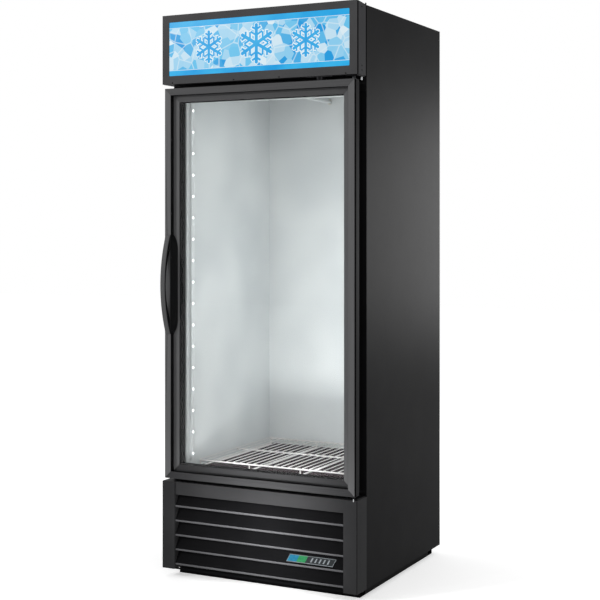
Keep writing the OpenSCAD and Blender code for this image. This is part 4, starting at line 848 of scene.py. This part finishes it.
@dataclass
class Handle:
    """The bow handle: a rounded grip over a plate on the stile, with a wing in the door's step."""

    width: float = 21.0 * MM
    reveal: float = 0.5 * MM
    corner: float = 4.5 * MM
    corner_share: float = 0.49
    corner_steps: int = 4
    plate: float = 2.0 * MM
    grip_half: float = 118.0 * MM
    grip_rise: float = 26.0 * MM
    stations: int = 56
    wing_reach: float = 18.0 * MM
    wing_tip: float = 1.5 * MM
    wing_taper: float = 48.0 * MM
    wing_swell: float = 0.8
    wing_drop: float = 19.0 * MM
    wing_tuck: float = 1.0 * MM
    wing_clear: float = 0.3 * MM
    wing_lip: float = 2.0 * MM
    shade_side_normal: float = 0.6
    shade_rear_normal: float = 0.3

    def __post_init__(self) -> None:
        """Takes the handle's place from its construction node."""
        self.low, self.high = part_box("handle")
        self.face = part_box("door_stile_left")[0].y
        self.middle = (self.low.z + self.high.z) / 2
        self.half = (self.high.z - self.low.z) / 2
        self.out = self.face - self.low.y
        self.right = self.low.x + self.width
        self.step = self.right + self.reveal

    def arc(self, half_chord: float, rise: float, along: float) -> float:
        """Height of a circular arc over its chord.

        Args:
            half_chord: half the chord's length.
            rise: the arc's height in the middle.
            along: distance from the middle.

        Returns:
            The height there, or 0 beyond the chord.
        """
        if abs(along) >= half_chord:
            return 0.0
        radius = (half_chord ** 2 + rise ** 2) / (2 * rise)
        return math.sqrt(radius ** 2 - along ** 2) - (radius - rise)

    def section(self, z: float, front: float, back: float) -> list[Vector]:
        """A rounded cross-section of the bow at one height.

        Args:
            z: the height.
            front: the Y of its front.
            back: the Y of its back.

        Returns:
            The points in order.
        """
        r = min(self.corner, (back - front) * self.corner_share)
        points = []
        for cx, cy, start in ((self.right - r, back - r, 0), (self.low.x + r, back - r, 90),
                              (self.low.x + r, front + r, 180), (self.right - r, front + r, 270)):
            for k in range(self.corner_steps + 1):
                angle = math.radians(start + 90 * k / self.corner_steps)
                points.append(Vector((cx + r * math.cos(angle), cy + r * math.sin(angle), z)))
        return points

    def build(self) -> None:
        """Builds the bow, which stands for the construction node, the plate behind it and the dark wing."""
        bow = Sculpt()
        rings = []
        root = self.face - self.plate
        for k in range(self.stations + 1):
            along = self.half * math.sin(math.pi * (k / self.stations - 0.5))
            front = root - self.arc(self.half, self.out - self.plate, along)
            gap = self.arc(self.grip_half, self.grip_rise, along)
            back = root - gap if gap else self.face
            rings.append(self.section(self.middle + along, front, back))
        bow.loft(rings)
        made = bow.piece("handle_bow", HANDLE_ABS, "door", "handle_plastic")
        # Faces that turn to the right or to the rear take black vinyl as painted shade on the bow; the front
        # faces keep the charcoal nylon.
        made.data.materials.append(VINYL_AND_SHADE.material())
        for face in made.data.polygons:
            if face.normal.x > self.shade_side_normal or face.normal.y > self.shade_rear_normal:
                face.material_index = 1
        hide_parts("handle")
        plate = Sculpt().block((self.low.x, root, self.low.z), (self.step, self.face, self.high.z), 0.6 * MM)
        plate.piece("handle_plate", HANDLE_PLATE, "door", "handle_plastic")
        # The wing is black vinyl as painted shade: it stands for the dark shaded crescent beside the bow in
        # the door's step.
        Sculpt().loft(self.wing()).piece("handle_wing", VINYL_AND_SHADE, "door", "handle_plastic")

    def wing(self) -> list[list[Vector]]:
        """The crescent that slopes from the plate down into the door's step.

        Returns:
            Its cross-sections from the bottom up.
        """
        rings = []
        root, drop = self.face - self.plate, self.wing_drop
        for k in range(self.stations + 1):
            along = self.half * (2 * k / self.stations - 1)
            share = min(1.0, (self.half - abs(along)) / self.wing_taper)
            swell = math.sin(share * math.pi / 2) ** self.wing_swell
            reach = self.wing_tip + (self.wing_reach - self.wing_tip) * swell
            outline = ((-self.wing_tuck, root), (0.12 * reach, root + 0.3 * MM),
                       (reach * 0.55, self.face + drop * 0.42), (reach, self.face + drop - self.wing_lip),
                       (reach, self.face + drop), (self.wing_clear, self.face + drop),
                       (self.wing_clear, self.face), (-self.wing_tuck, self.face))
            rings.append([Vector((self.step + x, y, self.middle + along)) for x, y in outline])
        return rings


@dataclass
class SignBox:
    """The lit sign: frost crystals and two border lines printed on the translucent panel."""

    crystals: tuple[tuple[float, float], ...] = ((-190 * MM, 58 * MM), (0.0, 70 * MM), (190 * MM, 58 * MM))
    arms: int = 6
    arm_share: float = 0.085
    barb_share: float = 0.10
    barbs: tuple[tuple[float, float], ...] = ((0.40, 0.30), (0.68, 0.20))
    halo: float = 3.0 * MM
    line: float = 1.6 * MM
    ink: float = 0.12 * MM

    def crystal(self, x: float, z: float, radius: float, grow: float) -> list[tuple[float, float]]:
        """Outline of a six-armed crystal.

        Args:
            x: its centre.
            z: its centre.
            radius: the arms' length.
            grow: how far the outline is let out all round.

        Returns:
            The (x, z) corners in order.
        """
        half = radius * self.arm_share + grow
        barb = radius * self.barb_share + 2 * grow
        out = Vector((math.cos(math.radians(60)), math.sin(math.radians(60))))
        turn = Vector((out.y, -out.x))
        side = [Vector((half / math.tan(math.radians(30)), half))]
        for share, length in self.barbs:
            foot = Vector((radius * share - grow * 1.2, half))
            tip = foot + out * (radius * length + grow)
            far = tip + turn * barb
            side += [foot, tip, far, far - out * ((far.y - half) / out.y)]
        side.append(Vector((radius + grow - half * 0.6, half)))
        arm = side + [Vector((radius + grow, 0.0))] + [Vector((p.x, -p.y)) for p in reversed(side)]
        outline = []
        for k in range(self.arms):
            angle = math.radians(90 - 360 / self.arms * k)
            for p in arm[:-1]:
                outline.append((x + p.x * math.cos(angle) - p.y * math.sin(angle),
                                z + p.x * math.sin(angle) + p.y * math.cos(angle)))
        return outline

    def build(self) -> None:
        """Prints the panel."""
        low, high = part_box("sign_panel")
        middle = (low.z + high.z) / 2
        face = low.y
        halos, cores = Sculpt(), Sculpt()
        for x, radius in self.crystals:
            halos.prism(self.crystal(x, middle, radius, self.halo), face - self.ink, face)
            cores.prism(self.crystal(x, middle, radius, 0.0), face - 2 * self.ink, face - self.ink)
        for z in (SIGN_FACE.band_low, SIGN_FACE.band_high):
            halos.block((low.x, face - self.ink, z - self.line / 2), (high.x, face, z + self.line / 2))
        halos.piece("sign_print_pale", PALE_INK, "cabinet", "sign_face")
        cores.piece("sign_print_blue", BLUE_INK, "cabinet", "sign_face")


@dataclass
class CabinLights:
    """Light bars: channels with rows of LEDs up both sides of the opening, and two plain bars in the sign."""

    pitch: float = 77 * MM
    end: float = 26 * MM
    inset: float = 24 * MM
    set_back: float = 22.5 * MM
    width: float = 20 * MM
    height: float = 10 * MM
    liner_sheet: float = 1.0 * MM
    clear: float = 0.3 * MM
    chip_lift: float = 0.4 * MM
    chip: tuple[tuple[float, float], ...] = ((0.0, 3.6 * MM), (0.8 * MM, 3.4 * MM), (1.2 * MM, 2.0 * MM))
    sign_pitch: float = 63.4 * MM
    sign_inset: float = 30 * MM
    sign_half: float = 9 * MM

    def build(self) -> None:
        """Builds channels and chips, which stand for the construction node, and the bars of the sign."""
        liner_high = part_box("cabin_liner")[1]
        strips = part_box("breaker_strips")
        bottom, top = strips[0].z + self.inset, strips[1].z - self.inset
        y0 = strips[0].y + self.set_back
        y1 = y0 + self.width
        channels, chips = Sculpt(), Sculpt()
        count = int((top - bottom - 2 * self.end) / self.pitch)
        for side in SIDES:
            wall = side * (liner_high.x - self.liner_sheet)
            inner = wall - side * self.height
            channels.block((wall - side * self.clear, y0, bottom), (inner, y1, top), 2.0 * MM)
            profile = [(-side * along, radius) for along, radius in self.chip]
            for k in range(count + 1):
                z = bottom + self.end + k * (top - bottom - 2 * self.end) / count
                chips.turned((inner + side * self.chip_lift, (y0 + y1) / 2, z), Axis.X, profile, 16)
        made = channels.piece("cabin_light_channels", WHITE_COAT, "cabinet", "light_bar")
        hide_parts("led_bars")
        chips.piece("cabin_light_chips", LED_CHIP, "cabinet", "light_bar")
        self.sign_bars()

    def sign_bars(self) -> None:
        """Builds the two bars behind the sign panel."""
        low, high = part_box("sign_panel")
        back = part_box("header_box")[1].y
        middle = (low.z + high.z) / 2
        bars = Sculpt()
        for side in SIDES:
            z = middle + side * self.sign_pitch / 2
            bars.block((low.x + self.sign_inset, back - self.height, z - self.sign_half),
                       (high.x - self.sign_inset, back - self.clear, z + self.sign_half), 3 * MM)
        bars.piece("sign_light_bars", LAMP_LENS, "cabinet", "light_bar")


@dataclass
class ShadeStripsAndFasteners:
    """Dark strips as painted shade on the sign box, the right post, the door's hinge edge and round its
    glass, the last partly a real glazing seal, and small fasteners.
    """

    seam_front: float = 9.0 * MM
    seam_rear: float = 7.0 * MM
    seam_depth: float = 3.0 * MM
    sunk: float = 0.4 * MM
    clear: float = 0.1 * MM
    end_clear: float = 1 * MM
    post_bead: float = 2.0 * MM
    shade_strip_front: float = 0.5 * MM
    shade_strip_width: float = 11.0 * MM
    shade_strip_thick: float = 0.4 * MM
    edge_depth: float = 36.5 * MM
    opening_inset: float = 22.0 * MM
    pane: float = 4.0 * MM
    seal_gap: float = 0.2 * MM
    seal_reach: float = 2.8 * MM
    seal_skin: float = 0.6 * MM
    screw_places: tuple[float, ...] = (-339 * MM, -89 * MM, 89 * MM, 339 * MM)
    screw_rise: float = 4 * MM
    screw: tuple[tuple[float, float], ...] = ((0.0, 2.6 * MM), (-0.7 * MM, 2.21 * MM), (-1.0 * MM, 0.4 * MM))
    high_pin: tuple[float, float, float] = (370 * MM, -303 * MM, -3.2 * MM)
    high_end: tuple[tuple[float, float], ...] = ((0.0, 4 * MM), (-11 * MM, 4 * MM), (-12 * MM, 3 * MM))
    low_pin: tuple[float, float, float] = (367.6 * MM, -361.4 * MM, 337.2 * MM)
    low_end: tuple[tuple[float, float], ...] = (
        (0.0, 1.0 * MM), (0.8 * MM, 1.8 * MM), (9.2 * MM, 1.8 * MM), (10 * MM, 1.0 * MM))

    def build(self) -> None:
        """Builds the trim from the sign box down."""
        self.seams()
        self.glazing_seal()
        self.door_edge()
        self.fasteners()

    def seams(self) -> None:
        """Lays black foam in the sign box's sunk seams and a black bead on the right post's outer edge, as
        painted shade in the seams and a painted shadow line on the post.
        """
        low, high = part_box("header_box")
        seams, clear = Sculpt(), self.clear
        for side in SIDES:
            for y0, y1 in ((low.y, low.y + self.seam_front), (high.y - self.seam_rear, high.y)):
                seams.block((side * (high.x - self.seam_depth), y0 + clear, low.z + clear),
                            (side * (high.x - self.sunk), y1 - clear, high.z - clear), 0.5 * MM)
        low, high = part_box("front_posts")
        seams.block((high.x - self.post_bead - clear, low.y - self.sunk / 2, low.z + self.end_clear),
                    (high.x - clear, low.y + clear, high.z - self.end_clear), clear)
        seams.piece("sign_box_seam_shade", SHADE_BLACK_FOAM, "cabinet", "gasket_vinyl")

    def glazing_seal(self) -> None:
        """Runs a black seal round the glass opening, between the panes and behind the inner one: partly a
        real glazing seal, and partly painted shade for the shaded edges of the inner frame round the glass.
        """
        low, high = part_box("door_glass")
        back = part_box("door_inner_frame")[1].y
        x, z0, z1 = high.x - self.opening_inset, low.z + self.opening_inset, high.z - self.opening_inset
        gap, edge, seal = self.seal_gap, self.clear, Sculpt()
        for y0, y1, out, into in (
                (low.y + self.pane + gap, high.y - self.pane - gap, self.seal_reach, 0.0),
                (high.y + gap, back - gap, gap, self.seal_skin)):
            for side in SIDES:
                seal.block((side * (x + out), y0, z0 + into), (side * (x - into), y1, z1 - into), edge)
            seal.block((-x - out, y0, z0 - out), (x + out, y1, z0 + into), edge)
            seal.block((-x - out, y0, z1 - into), (x + out, y1, z1 + out), edge)
        seal.piece("door_glazing_seal_and_shade", GLAZING_SEAL_AND_SHADE, "door", "gasket_vinyl")

    def door_edge(self) -> None:
        """Paints shade on the door's hinge edge: a black strip at its front as a painted shadow line, and a
        charcoal skin behind it as painted shade on the stile's side.
        """
        low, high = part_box("door_stile_right")
        x, z0, z1 = high.x, low.z + self.end_clear, high.z - self.end_clear
        shade_strip = Sculpt().block((x - self.clear, low.y + self.shade_strip_front, z0),
                               (x + self.shade_strip_thick, low.y + self.shade_strip_width, z1), 0.15 * MM)
        shade_strip.piece("door_edge_shade_strip", SHADE_BLACK_FOAM, "door", "gasket_vinyl")
        side_shade = Sculpt().block((x - self.clear, low.y + self.shade_strip_width, z0),
                              (x + self.shade_strip_thick / 2, low.y + self.edge_depth, z1), self.clear)
        side_shade.piece("door_edge_side_shade", SHADE_EDGE_SKIN, "door", "door_aluminium")

    def fasteners(self) -> None:
        """Builds the bezel's screws and the bright ends of the hinge pins at the top and bottom brackets."""
        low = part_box("sign_bezel")[0]
        screws = Sculpt()
        for x in self.screw_places:
            screws.turned((x, low.y, low.z + self.screw_rise), Axis.Y, self.screw, 20)
        screws.piece("bezel_screws", BLACK_OXIDE, "cabinet", "black_screw")
        x, y, drop = self.high_pin
        pins = Sculpt()
        pins.turned((x, y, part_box("hinge_bracket_top")[1].z + drop), Axis.Z, self.high_end, 24)
        pins.turned(self.low_pin, Axis.Z, self.low_end, 24)
        pins.piece("hinge_pin_ends", ZINC, "cabinet", "zinc_steel")


@dataclass
class Badge:
    """The plate on the grille: a metal rim round blue, green and charcoal fields, with short strokes."""

    rim: float = 1.8 * MM
    skin: float = 0.35 * MM
    plate: float = 1.9 * MM
    height_share: float = 0.96
    lean_share: float = 0.35
    fields: tuple[tuple[str, Finish, float, float], ...] = (
        ("badge_field", CHARCOAL_ENAMEL, 0.40, 1.0),
        ("badge_blue", BLUE_ENAMEL, 0.0, 0.21),
        ("badge_green", GREEN_ENAMEL, 0.21, 0.40))
    strokes: int = 5
    first_stroke: float = 0.50
    stroke_pitch: float = 0.09
    stroke_width: float = 0.03

    def __post_init__(self) -> None:
        """Finds the four corners and the direction of the construction node's slanted face."""
        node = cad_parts["badge_plate"]
        unique = {tuple(round(value, 5) for value in vertex.co) for vertex in node.data.vertices}
        low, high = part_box("badge_plate")
        up = Vector((0.0, high.y - low.y, high.z - low.z)).normalized()
        corners = [Vector(corner) for corner in sorted(unique)]
        front = sorted(corners, key=lambda p: p.y - p.z * up.y / up.z)[:4]
        by_height = sorted(front, key=lambda p: p.z)
        a, b = sorted(by_height[:2], key=lambda p: p.x)
        d = min(by_height[2:], key=lambda p: p.x)
        self.normal = (b - a).cross(d - a).normalized()
        if self.normal.y > 0:
            self.normal = -self.normal
        lean = Vector(((a.x - d.x) * self.lean_share, 0.0, 0.0))
        self.corner = a
        self.run = b - a
        self.rise = a + (d - a) * self.height_share + lean - a

    def build(self) -> None:
        """Lays the rim, the fields and the strokes on the face."""
        rim = self.field("badge_rim", BADGE_RIM, 0.0, 1.0, 0.0, self.plate + self.skin, -self.plate)
        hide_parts("badge_plate")
        for name, finish, start, stop in self.fields:
            self.field(name, finish, start, stop, self.rim, self.skin * 1.6)
        for k in range(self.strokes):
            start = self.first_stroke + self.stroke_pitch * k
            stop = start + self.stroke_width
            self.field(f"badge_stroke_{k}", BADGE_RIM, start, stop, self.rim * 3.2, self.skin * 2.2)

    def field(self, name: str, finish: Finish, start: float, stop: float, inset: float, height: float,
              foot: float = 0.0) -> bpy.types.Object:
        """Adds a thin slab over a share of the plate's length.

        Args:
            name: the piece's name.
            finish: its finish.
            start: where the slab starts, as a share of the length.
            stop: where it stops.
            inset: how far it stays inside the plate's edge.
            height: how thick it is.
            foot: how far off the plate's face it starts.

        Returns:
            The slab.
        """
        one = inset / self.run.length
        two = inset / self.rise.length
        start = start or one
        stop = min(stop, 1 - one)
        corners = ((start, two), (stop, two), (stop, 1 - two), (start, 1 - two))
        ring = [self.corner + self.run * s + self.rise * t for s, t in corners]
        slab = Sculpt().loft([[p + self.normal * out for p in ring] for out in (foot, foot + height)])
        return slab.piece(name, finish, "cabinet", "badge")


# ---------- stage ----------


@dataclass(frozen=True)
class Lamp:
    """A soft rectangular lamp that the camera doesn't see.

    A hidden one doesn't show in gloss or through glass either.
    """

    name: str
    place: tuple[float, float, float]
    target: tuple[float, float, float]
    size: tuple[float, float]
    watts: float
    hidden: bool = False
    spread_deg: float = 180.0

    def build(self) -> None:
        """Hangs the lamp."""
        data = bpy.data.lights.new(self.name, "AREA")
        data.shape = "RECTANGLE"
        data.size, data.size_y = self.size
        data.energy = self.watts
        data.spread = math.radians(self.spread_deg)
        made = placed(self.name, data)
        made.location = self.place
        made.rotation_euler = (Vector(self.target) - Vector(self.place)).to_track_quat("-Z", "Y").to_euler()
        made.visible_camera = False
        made.visible_glossy = not self.hidden
        made.visible_transmission = not self.hidden


def cabin_glow(side: int) -> Lamp:
    """The upright lamp on one side of the door's opening, which lights the far side of the cabin."""
    place, target = (side * 0.16, -0.24, 1.05), (-side * 0.33, -0.02, 1.05)
    return Lamp(f"cabin_glow_{side}", place, target, (0.12, 1.3), 1.15, hidden=True)


LAMPS = (
    Lamp("front_softbox", (-2.6, -3.9, 2.9), (-0.1, -0.3, 0.5), (0.6, 0.6), 90.0),
    Lamp("side_softbox", (1.3, 3.7, 1.28), (0.38, 0.35, 1.2), (0.7, 1.4), 53.0),
    Lamp("grille_accent", (0.04, -0.86, 0.24), (0.04, -0.30, 0.24), (0.2, 0.08), 1.7, hidden=True,
         spread_deg=80.0),
    *(cabin_glow(side) for side in SIDES),
)


@dataclass
class Studio:
    """A white sweep, soft lamps and the camera at the photograph's angle."""

    eye: tuple[float, float, float] = (2.1612, -4.2662, 1.2581)
    yaw_deg: float = 27.0
    lens_mm: float = 78.0
    sensor_mm: float = 36.0
    shift_x: float = -0.001
    shift_y: float = -0.1277
    far_clip: float = 100.0
    world_level: float = 0.62
    floor_half: float = 14.0
    floor_lift: float = 0.45
    dust_mm: float = 400.0
    dust: Stops = ((0.3, "#f2f2f2"), (0.7, "#f6f6f6"))

    def camera(self) -> None:
        """Places the camera."""
        data = bpy.data.cameras.new("camera")
        data.sensor_width = self.sensor_mm
        data.lens = self.lens_mm
        data.shift_x = self.shift_x
        data.shift_y = self.shift_y
        data.clip_end = self.far_clip
        made = placed("camera", data)
        made.location = self.eye
        made.rotation_euler = (math.radians(90), 0.0, math.radians(self.yaw_deg))
        bpy.context.scene.camera = made

    def background_rays(self, tree: Tree) -> Socket:
        """Finds the rays which show the background, directly, in gloss or through glass.

        Args:
            tree: the node tree that asks.

        Returns:
            A factor that is 1 for them and 0 for all others.
        """
        path = add(tree, "ShaderNodeLightPath").outputs
        shown = path["Is Camera Ray"]
        for kind in ("Is Glossy Ray", "Is Transmission Ray"):
            either = add(tree, "ShaderNodeMath", {0: shown, 1: path[kind]}, operation="MAXIMUM")
            shown = either.outputs["Value"]
        return shown

    def world(self) -> None:
        """Lights the scene evenly and shows white behind the object."""
        world = bpy.data.worlds.new("studio")
        bpy.context.scene.world = world
        world.use_nodes = True
        tree = world.node_tree
        tree.nodes.clear()
        level = add(tree, "ShaderNodeBackground", {"Color": linear(WHITE), "Strength": self.world_level})
        white = add(tree, "ShaderNodeBackground", {"Color": linear(WHITE), "Strength": 1.0})
        mixed = add(tree, "ShaderNodeMixShader", {
            "Fac": self.background_rays(tree),
            1: level.outputs["Background"],
            2: white.outputs["Background"]})
        add(tree, "ShaderNodeOutputWorld", {"Surface": mixed.outputs["Shader"]})

    def floor(self) -> None:
        """Lays a pale floor that keeps a soft shadow."""
        mesh = bmesh.new()
        bmesh.ops.create_grid(mesh, x_segments=2, y_segments=2, size=self.floor_half)
        data = bpy.data.meshes.new("floor")
        mesh.to_mesh(data)
        mesh.free()
        material = bpy.data.materials.new("white_studio_floor")
        material.use_nodes = True
        tree = material.node_tree
        tree.nodes.clear()
        coords = add(tree, "ShaderNodeTexCoord").outputs["Object"]
        dust = add(tree, "ShaderNodeTexNoise", {
            "Vector": coords, "Scale": per_metre(self.dust_mm), "Detail": 2.0})
        tint = add(tree, "ShaderNodeValToRGB", {"Fac": dust.outputs["Fac"]}, stops=self.dust)
        matt = add(tree, "ShaderNodeBsdfDiffuse", {"Color": tint.outputs["Color"]})
        lift = add(tree, "ShaderNodeMath", {0: self.background_rays(tree), 1: self.floor_lift},
                   operation="MULTIPLY")
        glow = add(tree, "ShaderNodeEmission", {"Color": linear(WHITE), "Strength": lift.outputs["Value"]})
        both = add(tree, "ShaderNodeAddShader", {0: matt.outputs["BSDF"], 1: glow.outputs["Emission"]})
        add(tree, "ShaderNodeOutputMaterial", {"Surface": both.outputs["Shader"]})
        data.materials.append(material)
        made = placed("floor", data)

    def lamps(self) -> None:
        """Lights the front from the left, the right side from the rear, the grille and the cabin."""
        for lamp in LAMPS:
            lamp.build()


def main() -> None:
    """Builds the looks in order: camera, finishes, pieces, then the stage."""
    logging.basicConfig(level=logging.INFO, format="%(name)s %(message)s")
    scene = bpy.context.scene
    scene.view_settings.view_transform = "Standard"
    studio = Studio()
    studio.camera()
    dress_nodes()
    for assembly in (Grille(), StepShade(), Handle(), SignBox(), CabinLights(), ShadeStripsAndFasteners(), Badge()):
        assembly.build()
    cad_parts["door_glass"].visible_shadow = False
    studio.world()
    studio.floor()
    studio.lamps()


if __name__ == "__main__":
    main()
